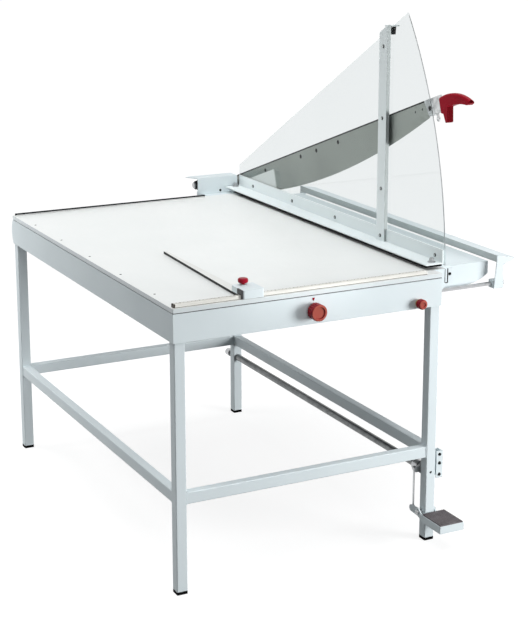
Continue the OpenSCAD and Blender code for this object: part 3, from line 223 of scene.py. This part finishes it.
def table_laminate():
    """White top: even, with a very fine fleck, faint scuffs and a near-black band along its lower edge, painted as
    the shade of the gap under the board.
    """
    material, tree, shader, place = finish("table_laminate")
    cloud = speckle(tree, place, scale=4.0, detail=5.0)
    body = clouded(tree, cloud, (0.80, 0.825, 0.815), (0.835, 0.855, 0.845))
    fleck = span(tree, speckle(tree, place, scale=900.0, detail=1.0), 0.66, 0.74, 0.0, 0.10)
    body = laid_over(tree, fleck, body, (0.55, 0.57, 0.57))
    sides = sums(tree, "LESS_THAN", flat_faces(tree)[2], HALF_ON)
    body = laid_over(tree, sides, body, (0.70, 0.755, 0.77))
    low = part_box("table_top")[0]
    # Painted shade: the lowest 2.1 mm of the board's edge goes near black, for the shadow gap between the board and
    # the aprons.
    gap_shade_height = 2.1 * MM
    gap_shade = sums(tree, "LESS_THAN", axes(tree, place)[2], low.z + gap_shade_height)
    tree.links.new(laid_over(tree, gap_shade, body, (0.05, 0.055, 0.06)), shader.inputs["Base Color"])
    scuff = speckle(tree, turned(tree, place, scale=(60, 9, 60)), scale=3.0, detail=6.0, rough=0.6)
    tree.links.new(span(tree, scuff, 0.35, 0.75, 0.36, 0.5), shader.inputs["Roughness"])
    skin = speckle(tree, place, scale=1400.0, detail=1.0)
    grain(tree, shader, skin, strength=0.05, depth=0.3 * MM, normal=rounded_edges(tree, radius=1 * MM))
    return material


def ground_steel():
    """Tool steel blade: ground along its length, with near-black discs round its holes, a near-black band along its
    back painted as shade, and a paler patch low on the left face of its rear part by the pivot, painted as a
    reflection.
    """
    material, tree, shader, place = finish("ground_blade_steel", metal=1.0)
    along = turned(tree, place, turn=(BLADE_TILT, 0, 0))
    lines = speckle(tree, turned(tree, along, scale=(900, 6, 900)), scale=1.0, detail=4.0, rough=0.7)
    cloud = speckle(tree, place, scale=7.0, detail=4.0)
    mixed = sums(tree, "ADD", sums(tree, "MULTIPLY", lines, 0.4), sums(tree, "MULTIPLY", cloud, 0.6))
    body = clouded(tree, mixed, (0.36, 0.383, 0.352), (0.455, 0.478, 0.445))

    pivot = Vector(joints["blade_swing"]["pos_m"])
    y, z = axes(tree, place)[1:3]
    back = sums(tree, "SUBTRACT", y, pivot.y)
    rise = sums(tree, "SUBTRACT", z, pivot.z)
    sine, cosine = math.sin(BLADE_TILT), math.cos(BLADE_TILT)
    up = sums(tree, "ADD", sums(tree, "MULTIPLY", back, sine), sums(tree, "MULTIPLY", rise, cosine))
    out = sums(tree, "SUBTRACT", sums(tree, "MULTIPLY", rise, sine), sums(tree, "MULTIPLY", back, cosine))

    # Painted reflection: the lower left face of the blade's rear part, by the pivot, is made paler and less metallic,
    # for a bright reflection there.
    tail_fade, tail_end, tail_top = 0.262, 0.272, -6 * MM
    rear_reflection_patch = span(tree, out, tail_fade, tail_end, 1.0, 0.0)
    rear_reflection_patch = sums(tree, "MULTIPLY", rear_reflection_patch, sums(tree, "LESS_THAN", up, tail_top))
    rear_reflection_patch = sums(tree, "MULTIPLY", rear_reflection_patch, sums(tree, "LESS_THAN", flat_faces(tree)[LEFT], -HALF_ON))
    body = laid_over(tree, rear_reflection_patch, body, (0.78, 0.80, 0.78))
    tree.links.new(span(tree, rear_reflection_patch, 0.0, 1.0, 1.0, 0.15), shader.inputs["Metallic"])

    # Near-black discs round the four holes.
    rim_radius = 6.2 * MM
    for hole in BLADE_HOLES:
        past = sums(tree, "SUBTRACT", out, hole)
        off = sums(tree, "ADD", sums(tree, "MULTIPLY", past, past), sums(tree, "MULTIPLY", up, up))
        rim = sums(tree, "LESS_THAN", off, rim_radius ** 2)
        body = laid_over(tree, rim, body, (0.008, 0.008, 0.009))
    # Painted shade: a near-black band 4.2 mm deep along the blade's back stands in for the shade on its top edge.
    back_shade_depth = 4.2 * MM
    back_shade = sums(tree, "GREATER_THAN", up, BLADE_BACK - back_shade_depth)
    tree.links.new(laid_over(tree, back_shade, body, (0.02, 0.022, 0.022)), shader.inputs["Base Color"])

    uneven_gloss(tree, shader, lines, rough=0.36, spread=0.14)
    grain(tree, shader, lines, strength=0.12, depth=0.2 * MM, normal=rounded_edges(tree, radius=0.6 * MM))
    return material


def plated_steel(name, dark, light, rough, face=None):
    """Plated, cast or turned metal with fine tool marks."""
    material, tree, shader, place = finish(name, metal=1.0)
    lines = speckle(tree, turned(tree, place, scale=(700, 700, 700)), scale=1.0, rough=0.6)
    cloud = speckle(tree, place, scale=60.0)
    tree.links.new(faced(tree, clouded(tree, cloud, dark, light), face), shader.inputs["Base Color"])
    uneven_gloss(tree, shader, lines, rough, spread=0.16)
    grain(tree, shader, lines, strength=0.08, depth=0.2 * MM, normal=rounded_edges(tree, radius=0.6 * MM))
    return material


def moulded(name, dark, light, rough, peel=700.0, depth=0.4 * MM, edge=None, gloss=0.5, face=None):
    """Moulded plastic or rubber: a fine eroded skin, slightly lighter where handled."""
    material, tree, shader, place = finish(name)
    body = clouded(tree, speckle(tree, place, scale=40.0, detail=4.0), dark, light)
    normal = rounded_edges(tree, radius=1.4 * MM)
    if edge is not None:
        rub = sums(tree, "MULTIPLY", edge_rub(tree, normal), speckle(tree, place, scale=160.0))
        body = laid_over(tree, rub, body, edge)
    tree.links.new(faced(tree, body, face), shader.inputs["Base Color"])
    skin = speckle(tree, place, scale=peel, detail=2.0)
    uneven_gloss(tree, shader, skin, rough, spread=0.12)
    grain(tree, shader, skin, strength=0.18, depth=depth, normal=normal)
    shader.inputs["Specular IOR Level"].default_value = gloss
    return material


def lay_scale():
    """Cream guide strip with marks every 2, 10 and 50 mm, counted from the cutting line, and dark lines along its
    lower front and back top edges painted as the shade of the gaps beside it.
    """
    material, tree, shader, place = finish("cream_scale")
    body = clouded(tree, speckle(tree, place, scale=30.0), (0.73, 0.72, 0.675), (0.78, 0.772, 0.73))
    low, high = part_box("front_lay")
    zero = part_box("bed_knife")[1].x
    x, y, z = axes(tree, place)[:3]
    run = sums(tree, "SUBTRACT", zero, x)

    def marks(step, width, reach):
        """Lines across the strip, one to a step, that reach in from its back edge."""
        phase = sums(tree, "MODULO", sums(tree, "ADD", run, step / 2), step)
        off = sums(tree, "ABSOLUTE", sums(tree, "SUBTRACT", phase, step / 2))
        line = sums(tree, "LESS_THAN", off, width / 2)
        near = sums(tree, "GREATER_THAN", y, high.y - reach)
        return sums(tree, "MULTIPLY", line, near)

    ink = sums(tree, "MAXIMUM", marks(step=10 * MM, width=1.6 * MM, reach=4.2 * MM),
               marks(step=2 * MM, width=0.6 * MM, reach=2.4 * MM))
    ink = sums(tree, "MAXIMUM", ink, marks(step=50 * MM, width=2.0 * MM, reach=5.6 * MM))
    mark_ink, shade_line_ink = 0.9, 0.75
    top_skin, end_cap, base_height, back_width = 0.5 * MM, 4 * MM, 1.6 * MM, 1.3 * MM
    top = sums(tree, "GREATER_THAN", z, high.z - top_skin)
    ink = sums(tree, "MULTIPLY", sums(tree, "MULTIPLY", ink, top), mark_ink)
    ink = sums(tree, "MAXIMUM", ink, sums(tree, "LESS_THAN", x, low.x + end_cap))
    # Painted shade: dark lines along the strip's lower edge and along the back of its top, for the shadow gaps
    # between the strip and the table.
    base_shade_line = sums(tree, "LESS_THAN", z, low.z + base_height)
    back_shade_line = sums(tree, "MULTIPLY", top, sums(tree, "GREATER_THAN", y, high.y - back_width))
    lines = sums(tree, "MULTIPLY", sums(tree, "MAXIMUM", base_shade_line, back_shade_line), shade_line_ink)
    ink = sums(tree, "MAXIMUM", ink, lines)
    tree.links.new(laid_over(tree, ink, body, (0.045, 0.036, 0.028)), shader.inputs["Base Color"])
    skin = speckle(tree, place, scale=800.0, detail=2.0)
    uneven_gloss(tree, shader, skin, rough=0.42, spread=0.13)
    grain(tree, shader, skin, strength=0.1, depth=0.3 * MM, normal=rounded_edges(tree, radius=0.8 * MM))
    return material


def back_lay_strip():
    """Low strip along the back of the table: black upper edge over a pale foot."""
    material, tree, shader, place = finish("back_lay_strip")
    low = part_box("back_lay")[0]
    pale = clouded(tree, speckle(tree, place, scale=20.0), (0.60, 0.61, 0.60), (0.66, 0.67, 0.66))
    foot_top, edge_start = 3.6 * MM, 4.0 * MM
    edge = span(tree, axes(tree, place)[2], low.z + foot_top, low.z + edge_start, 0.0, 1.0)
    tree.links.new(laid_over(tree, edge, pale, (0.016, 0.016, 0.018)), shader.inputs["Base Color"])
    skin = speckle(tree, place, scale=700.0, detail=2.0)
    uneven_gloss(tree, shader, skin, rough=0.4, spread=0.12)
    grain(tree, shader, skin, strength=0.15, depth=0.4 * MM, normal=rounded_edges(tree, radius=0.8 * MM))
    shader.inputs["Specular IOR Level"].default_value = 0.1
    return material


def gauge_bar_paint():
    """The back gauge's flat bar: pale paint, with its left faces near black as painted shade."""
    material, tree, shader, place = finish("gauge_bar_paint")
    cloud = speckle(tree, place, scale=8.0, detail=4.0)
    body = clouded(tree, cloud, (0.74, 0.75, 0.73), (0.79, 0.80, 0.78))
    # Painted shade: the faces that look left go near black, for the shade along the bar's left side.
    left = sums(tree, "LESS_THAN", flat_faces(tree)[LEFT], -HALF_ON)
    tree.links.new(laid_over(tree, left, body, (0.012, 0.012, 0.013)), shader.inputs["Base Color"])
    skin = speckle(tree, place, scale=520.0, detail=2.0)
    uneven_gloss(tree, shader, skin, rough=0.38, spread=0.12)
    grain(tree, shader, skin, strength=0.1, depth=0.5 * MM, normal=rounded_edges(tree, radius=0.8 * MM))
    shader.inputs["Specular IOR Level"].default_value = 0.12
    return material


def clear_guard_sheet():
    """Clear guard: faint cool tint, polished, a trace of haze, hairline scratches and matt sawn edges."""
    material, tree, shader, place = finish("clear_guard_sheet")
    haze = speckle(tree, place, scale=3.0, detail=2.0)
    tree.links.new(clouded(tree, haze, (0.80, 0.83, 0.832), (0.815, 0.842, 0.845)), shader.inputs["Base Color"])
    shader.inputs["Transmission Weight"].default_value = 1.0
    shader.inputs["IOR"].default_value = 1.15
    hair = speckle(tree, turned(tree, place, scale=(200, 30, 12)), scale=1.0, detail=4.0, rough=0.7)
    polish = span(tree, hair, 0.45, 0.8, 0.0, 0.05)
    sawn = sums(tree, "LESS_THAN", sums(tree, "ABSOLUTE", own_faces(tree)[LEFT]), HALF_ON)
    sawn_rough = 0.7
    matt = sums(tree, "MULTIPLY", sawn, sawn_rough)
    tree.links.new(sums(tree, "MAXIMUM", polish, matt), shader.inputs["Roughness"])
    grain(tree, shader, speckle(tree, place, scale=5.0, detail=2.0), strength=0.02, depth=1 * MM)
    return material


paint = sheet_paint("pale_grey_paint", (0.705, 0.78, 0.805), (0.745, 0.82, 0.845), edge=(0.84, 0.885, 0.90))
# Painted light: a lighter copy of the pale grey paint on the clamp, making up for light it gets too little of beside
# the guard.
lit_clamp_paint = sheet_paint("lit_clamp_paint", (0.795, 0.86, 0.868), (0.825, 0.885, 0.893), edge=(0.88, 0.92, 0.925))
# Painted light and shade: a lighter copy of the pale grey paint on the guard post, with its front faces painted dark
# as shade.
lit_shaded_post_paint = sheet_paint("lit_shaded_post_paint", (0.805, 0.87, 0.878), (0.835, 0.895, 0.903), edge=(0.88, 0.92, 0.925),
                         face=(FRONT, (0.38, 0.415, 0.415)))
# Painted shade: the strip rail's left faces are darker than the same paint elsewhere.
shaded_rail_paint = sheet_paint("shaded_rail_paint", (0.705, 0.78, 0.805), (0.745, 0.82, 0.845), edge=(0.80, 0.85, 0.865),
                         face=(LEFT, (0.53, 0.575, 0.575)))
laminate = table_laminate()
blade_steel = ground_steel()
zinc = plated_steel("zinc_plate", (0.40, 0.41, 0.42), (0.52, 0.53, 0.54), rough=0.26)
cast_zinc = plated_steel("cast_zinc", (0.40, 0.415, 0.42), (0.84, 0.855, 0.86), rough=0.34)
drawn_steel = plated_steel("drawn_shaft_steel", (0.13, 0.137, 0.14), (0.22, 0.228, 0.23), rough=0.3)
# Painted light and shade: the shield screw heads are dark, with their left faces pale as a painted lit side.
lit_shaded_screw_steel = plated_steel("lit_shaded_screw_steel", (0.03, 0.032, 0.033), (0.06, 0.063, 0.064), rough=0.34,
                           face=(LEFT, (0.60, 0.64, 0.64)))
dark_steel = plated_steel("blackened_steel", (0.016, 0.017, 0.018), (0.04, 0.042, 0.044), rough=0.36)
bronze = plated_steel("bush_bronze", (0.46, 0.32, 0.15), (0.58, 0.43, 0.22), rough=0.3)
red = moulded("dark_red_plastic", (0.235, 0.0025, 0.013), (0.30, 0.0045, 0.02), rough=0.3,
              edge=(0.44, 0.04, 0.055), gloss=0.14)
# Painted light and shade: darker than the other red for the knobs' shaded sides, with their front faces a paler brick
# red as painted sheen.
painted_light_knob_red = moulded("knob_red_plastic", (0.20, 0.002, 0.009), (0.26, 0.0035, 0.013), rough=0.3,
                   edge=(0.42, 0.04, 0.05), gloss=0.14, face=(FRONT, (0.39, 0.088, 0.066)))
# Painted shade: the grip's front faces go dark red-black.
shaded_grip_red = moulded("grip_red_plastic", (0.325, 0.0025, 0.014), (0.395, 0.0045, 0.021), rough=0.3,
                   edge=(0.48, 0.03, 0.05), gloss=0.06, face=(FRONT, (0.13, 0.001, 0.005)))
rubber = moulded("black_rubber", (0.003, 0.003, 0.0035), (0.007, 0.007, 0.0075), rough=0.7,
                 peel=900.0, depth=0.6 * MM, gloss=0.03)
back_strip = back_lay_strip()
black_plastic = moulded("black_plastic", (0.016, 0.016, 0.018), (0.032, 0.032, 0.034), rough=0.42)
tread = moulded("brown_grey_tread", (0.095, 0.083, 0.088), (0.155, 0.139, 0.147), rough=0.6,
                peel=500.0, depth=0.8 * MM, edge=(0.25, 0.23, 0.24))
cream = lay_scale()
bar_paint = gauge_bar_paint()
clear = clear_guard_sheet()

worn_by = {
    paint: ("front_left_leg", "front_right_leg", "rear_left_leg", "rear_right_leg", "front_stretcher",
            "rear_stretcher", "left_stretcher", "right_stretcher", "front_apron", "left_apron", "rear_apron",
            "knife_beam", "latch_plate", "offcut_tray", "tray_arms", "pivot_bearing", "pivot_cover", "lever_guard",
            "pedal", "gauge_slider", "rail_brackets", "rack_housings"),
    lit_clamp_paint: ("clamp_bar",),
    lit_shaded_post_paint: ("shield_post",),
    shaded_rail_paint: ("strip_rail",),
    laminate: ("table_top",),
    blade_steel: ("blade",),
    cast_zinc: ("handle_bracket", "blade_latch"),
    zinc: ("knife_screws", "pivot_shaft", "pull_rods", "clamp_nuts", "shaft_levers", "pedal_link", "pedal_pin",
           "guide_rods", "knob_shaft", "bed_knife", "return_springs", "pinions"),
    drawn_steel: ("torsion_shaft",),
    lit_shaded_screw_steel: ("shield_screws",),
    dark_steel: ("bracket_screws", "panel_screws", "pivot_nuts"),
    bronze: ("bushes",),
    shaded_grip_red: ("handle_grip",),
    painted_light_knob_red: ("setting_knob", "lock_knob"),
    red: ("gauge_knob", "index_pointer"),
    rubber: ("feet", "clamp_rubber", "post_bumper"),
    back_strip: ("back_lay",),
    tread: ("pedal_pad",),
    cream: ("front_lay",),
    bar_paint: ("gauge_bar",),
    clear: ("shield",),
}
for material, names in worn_by.items():
    for name in names:
        for slot in nodes[name].material_slots:
            slot.material = material
nodes["shield"].visible_shadow = False  # a clear sheet lets the lamps' light through


# Pieces that only the scene has

def piece(name, mesh, material, body):
    """Turns a bmesh into an object that rides on a body."""
    bmesh.ops.recalc_face_normals(mesh, faces=mesh.faces)
    data = bpy.data.meshes.new(name)
    mesh.to_mesh(data)
    mesh.free()
    data.materials.append(material)
    made = bpy.data.objects.new(name, data)
    scene.collection.objects.link(made)
    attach(made, body)
    return made


def edges_of(verts):
    """The edges at some vertices, each once and in order."""
    return list(dict.fromkeys(edge for vert in verts for edge in vert.link_edges))


def grown_from(mesh, faces, kind):
    """Extrudes faces, and gives the new vertices or faces."""
    grown = bmesh.ops.extrude_face_region(mesh, geom=faces)["geom"]
    return [item for item in grown if isinstance(item, kind)]


def ease(mesh, edges, radius):
    """Rounds edges by a radius."""
    bmesh.ops.bevel(mesh, geom=edges, offset=radius, offset_type="OFFSET", segments=2, profile=0.5,
                    affect="EDGES", material=-1)


def eased_block(mesh, low, high, radius):
    """A block between two corners with its edges eased."""
    made = bmesh.ops.create_cube(mesh, size=1.0)["verts"]
    bmesh.ops.scale(mesh, vec=high - low, verts=made)
    bmesh.ops.translate(mesh, vec=(low + high) / 2, verts=made)
    ease(mesh, edges_of(made), radius)


def eased_prism(mesh, corners, reach, radius):
    """A prism on an outline of corners, pushed along a vector, with its edges eased."""
    outline = [bmesh.ops.create_vert(mesh, co=corner)["vert"][0] for corner in corners]
    rim = []
    for start, end in zip(outline, outline[1:] + outline[:1]):
        rim += bmesh.ops.contextual_create(mesh, geom=[start, end])["edges"]
    face = bmesh.ops.edgeloop_fill(mesh, edges=rim)["faces"]
    bmesh.ops.translate(mesh, vec=reach, verts=grown_from(mesh, face, bmesh.types.BMVert))
    ease(mesh, list(mesh.edges), radius)


def weld_seams():
    """A low painted bead where each stretcher meets its legs."""
    mesh = bmesh.new()
    proud = 0.9 * MM
    bead = 2.6 * MM
    ease_radius = 0.8 * MM
    for name in ("front_stretcher", "rear_stretcher", "left_stretcher", "right_stretcher"):
        low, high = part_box(name)
        along = 0 if high.x - low.x > high.y - low.y else 1
        for end in (low, high):
            a = Vector(low) - Vector((proud, proud, proud))
            b = Vector(high) + Vector((proud, proud, proud))
            a[along] = end[along] if end is low else end[along] - bead
            b[along] = end[along] + bead if end is low else end[along]
            eased_block(mesh, a, b, ease_radius)
    piece("stretcher_weld_seams", mesh, paint, "stand")


def sunk_screw(mesh, at, radius):
    """A flat head that stands a hair above the table, with a low crown round its socket."""
    proud, crown, socket = 0.35 * MM, 0.12 * MM, 0.4 * MM
    slope, land = 0.3 * radius, 0.18 * radius
    head = bmesh.ops.create_circle(mesh, cap_ends=True, segments=18, radius=radius,
                                   matrix=Matrix.Translation(at))["verts"]
    disc = head[0].link_faces[0]
    if disc.normal.z < 0:
        bmesh.ops.reverse_faces(mesh, faces=[disc])
    top = grown_from(mesh, [disc], bmesh.types.BMFace)
    bmesh.ops.translate(mesh, vec=(0, 0, proud), verts=top[0].verts)
    bmesh.ops.inset_region(mesh, faces=top, thickness=slope, depth=crown)
    bmesh.ops.inset_region(mesh, faces=top, thickness=land, depth=0)
    bmesh.ops.translate(mesh, vec=(0, 0, -socket), verts=top[0].verts)


def table_screws():
    """Screws along the left edge that hold the table board to its frame."""
    mesh = bmesh.new()
    low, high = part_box("table_top")
    inset, first, pitch, radius = 16.5 * MM, 144 * MM, 215 * MM, 2.8 * MM
    for step in range(5):
        sunk_screw(mesh, (low.x + inset, low.y + first + pitch * step, high.z), radius)
    piece("table_screws", mesh, dark_steel, "stand")


def slider_end_cap():
    """Black wear cap on the left end of the back gauge's saddle, open over the lay."""
    mesh = bmesh.new()
    low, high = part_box("gauge_slider")
    lay_low, lay_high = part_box("front_lay")
    thick, past_lay, gap, ease_radius = 4 * MM, 6 * MM, 0.6 * MM, 0.8 * MM
    front, inner, back = low.y, lay_low.y - gap, lay_high.y + past_lay
    bottom, under, top = low.z + gap, lay_high.z + gap, high.z - gap
    hook = ((front, bottom), (inner, bottom), (inner, under), (back, under), (back, top), (front, top))
    eased_prism(mesh, [(low.x, y, z) for y, z in hook], (-thick, 0, 0), ease_radius)
    piece("slider_end_cap", mesh, black_plastic, "back_gauge")


def catch_slot_edging():
    """Black edging round the slot of the latch plate, clear of the bracket's web."""
    mesh = bmesh.new()
    plate_low, plate_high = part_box("latch_plate")
    blade_low, blade_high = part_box("blade")
    clear_of_web, wall, ease_radius = 0.6 * MM, 1.3 * MM, 0.3 * MM
    proud, short_of_back = 0.8 * MM, 0.2 * MM
    slot_depth, short_of_top = 36.5 * MM, 0.5 * MM
    front, back = plate_low.y - proud, plate_high.y - short_of_back
    low_z, high_z = plate_high.z - slot_depth, plate_high.z - short_of_top
    left, right = blade_low.x - clear_of_web, blade_high.x + clear_of_web
    loop = ((left - wall, low_z - wall), (right + wall, low_z - wall), (right + wall, high_z), (right, high_z),
            (right, low_z), (left, low_z), (left, high_z), (left - wall, high_z))
    eased_prism(mesh, [(x, front, z) for x, z in loop], (0, back - front, 0), ease_radius)
    piece("catch_slot_edging", mesh, black_plastic, "stand")


def wound_springs():
    """The two return springs, wound smoothly."""
    mesh = bmesh.new()
    low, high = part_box("return_springs")
    wire = 2.2 * MM
    wire_sides = 8
    turns, turn_steps = 7, 24
    outer = (high.x - low.x) / 2
    tall = high.z - low.z
    rise = (tall - wire) / (turns * turn_steps)
    upright = Matrix.Rotation(math.radians(90), 4, "X")
    for y in (low.y + outer, high.y - outer):
        axis_at = Vector(((low.x + high.x) / 2, y, low.z + wire / 2))
        start = Matrix.Translation(axis_at + Vector((outer - wire / 2, 0, 0))) @ upright
        ring = bmesh.ops.create_circle(mesh, cap_ends=False, segments=wire_sides, radius=wire / 2,
                                       matrix=start)["verts"]
        bmesh.ops.spin(mesh, geom=ring + edges_of(ring), cent=axis_at, axis=(0, 0, 1), dvec=(0, 0, rise),
                       angle=math.radians(360 * turns), steps=turns * turn_steps, use_merge=False)
    ends = [edge for edge in mesh.edges if edge.is_boundary]
    bmesh.ops.holes_fill(mesh, edges=ends, sides=wire_sides)
    made = piece("return_spring_wires", mesh, zinc, "stand")
    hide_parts("return_springs")
    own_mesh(made)


weld_seams()
table_screws()
slider_end_cap()
catch_slot_edging()
wound_springs()


# Floor, light and camera

def ray_that_shows(tree):
    """1 for rays that show the background: camera, glossy and transmission rays."""
    path = tree.nodes.new("ShaderNodeLightPath")
    return sums(tree, "MAXIMUM", path.outputs["Is Camera Ray"],
                sums(tree, "MAXIMUM", path.outputs["Is Glossy Ray"], path.outputs["Is Transmission Ray"]))


def lit_floor():
    """Pale floor: plain white where it is seen, with the object's soft shadow kept, and grey as a source of light."""
    half_width, below_feet = 30.0, 0.5 * MM
    bounced, shadowed, white_glow = 0.12, 0.30, 0.815
    mesh = bmesh.new()
    bmesh.ops.create_grid(mesh, x_segments=2, y_segments=2, size=half_width)
    data = bpy.data.meshes.new("pale_floor")
    mesh.to_mesh(data)
    mesh.free()
    floor = bpy.data.objects.new("pale_floor", data)
    scene.collection.objects.link(floor)
    floor.location.z = -below_feet
    material = bpy.data.materials.new("pale_floor")
    material.use_nodes = True
    tree = material.node_tree
    tree.nodes.clear()
    plain = tree.nodes.new("ShaderNodeBsdfDiffuse")
    plain.inputs["Color"].default_value = (bounced, bounced, bounced, 1)
    shaded = tree.nodes.new("ShaderNodeBsdfDiffuse")
    shaded.inputs["Color"].default_value = (shadowed, shadowed, shadowed, 1)
    glow = tree.nodes.new("ShaderNodeEmission")
    glow.inputs["Color"].default_value = (1, 1, 1, 1)
    glow.inputs["Strength"].default_value = white_glow
    seen = tree.nodes.new("ShaderNodeAddShader")
    tree.links.new(shaded.outputs[0], seen.inputs[0])
    tree.links.new(glow.outputs[0], seen.inputs[1])
    choose = tree.nodes.new("ShaderNodeMixShader")
    tree.links.new(ray_that_shows(tree), choose.inputs[0])
    tree.links.new(plain.outputs[0], choose.inputs[1])
    tree.links.new(seen.outputs[0], choose.inputs[2])
    surface = tree.nodes.new("ShaderNodeOutputMaterial")
    tree.links.new(choose.outputs[0], surface.inputs["Surface"])
    data.materials.append(material)


def soft_box(name, at, aim, size, power, spread=180):
    """A square soft box that points at a place on the trimmer and isn't mirrored in the clear guard."""
    lamp = bpy.data.lights.new(name, "AREA")
    lamp.size = size
    lamp.energy = power
    lamp.spread = math.radians(spread)
    box = bpy.data.objects.new(name, lamp)
    scene.collection.objects.link(box)
    box.location = at
    box.rotation_euler = (Vector(at) - Vector(aim)).to_track_quat("Z", "Y").to_euler()
    box.visible_camera = False
    box.visible_glossy = False
    box.visible_transmission = False


def studio_light():
    """A wide sun overhead, a box in front on the right, three on the left, and a narrow one along the clamp."""
    dim_sky, white = (0.185, 0.193, 0.198), (1.0, 1.0, 1.0)
    world = bpy.data.worlds.new("studio")
    scene.world = world
    world.use_nodes = True
    tree = world.node_tree
    background = tree.nodes["Background"]
    tree.links.new(laid_over(tree, ray_that_shows(tree), dim_sky, white), background.inputs["Color"])
    lamp = bpy.data.lights.new("overhead_light", "SUN")
    lamp.energy = 1.6
    lamp.angle = math.radians(50)
    overhead = bpy.data.objects.new("overhead_light", lamp)
    scene.collection.objects.link(overhead)
    overhead.rotation_euler = Vector((-0.05, -0.18, 1.0)).to_track_quat("Z", "Y").to_euler()
    soft_box("front_box", at=(2.4, -2.8, 0.95), aim=(0.0, -0.3, 0.6), size=1.4, power=122)
    soft_box("top_box", at=(-1.1, 0.5, 2.6), aim=(0.1, 0.2, 0.8), size=1.0, power=13)
    soft_box("side_box", at=(-1.1, 1.3, 0.9), aim=(-0.5, 0.5, 0.65), size=0.5, power=4.2)
    soft_box("low_box", at=(-2.0, 1.2, 0.2), aim=(-0.5, 0.3, 0.35), size=0.8, power=10)
    soft_box("grid_box", at=(-0.35, -1.6, 0.97), aim=(0.1, 0.6, 0.76), size=0.3, power=0.17, spread=16)


def photo_camera():
    """The camera at the photograph's viewing angle, to the left of the front and looking a little down."""
    down, right = math.radians(13.61), math.radians(27.24)
    data = bpy.data.cameras.new("photo_camera")
    data.sensor_width = 36
    data.lens = 87.86
    data.shift_y = -0.1
    camera = bpy.data.objects.new("photo_camera", data)
    scene.collection.objects.link(camera)
    camera.location = (-1.9065, -3.7765, 1.688)
    camera.rotation_euler = (math.radians(90) - down, 0, -right)
    scene.camera = camera


lit_floor()
studio_light()
photo_camera()
scene.view_settings.view_transform = "Standard"
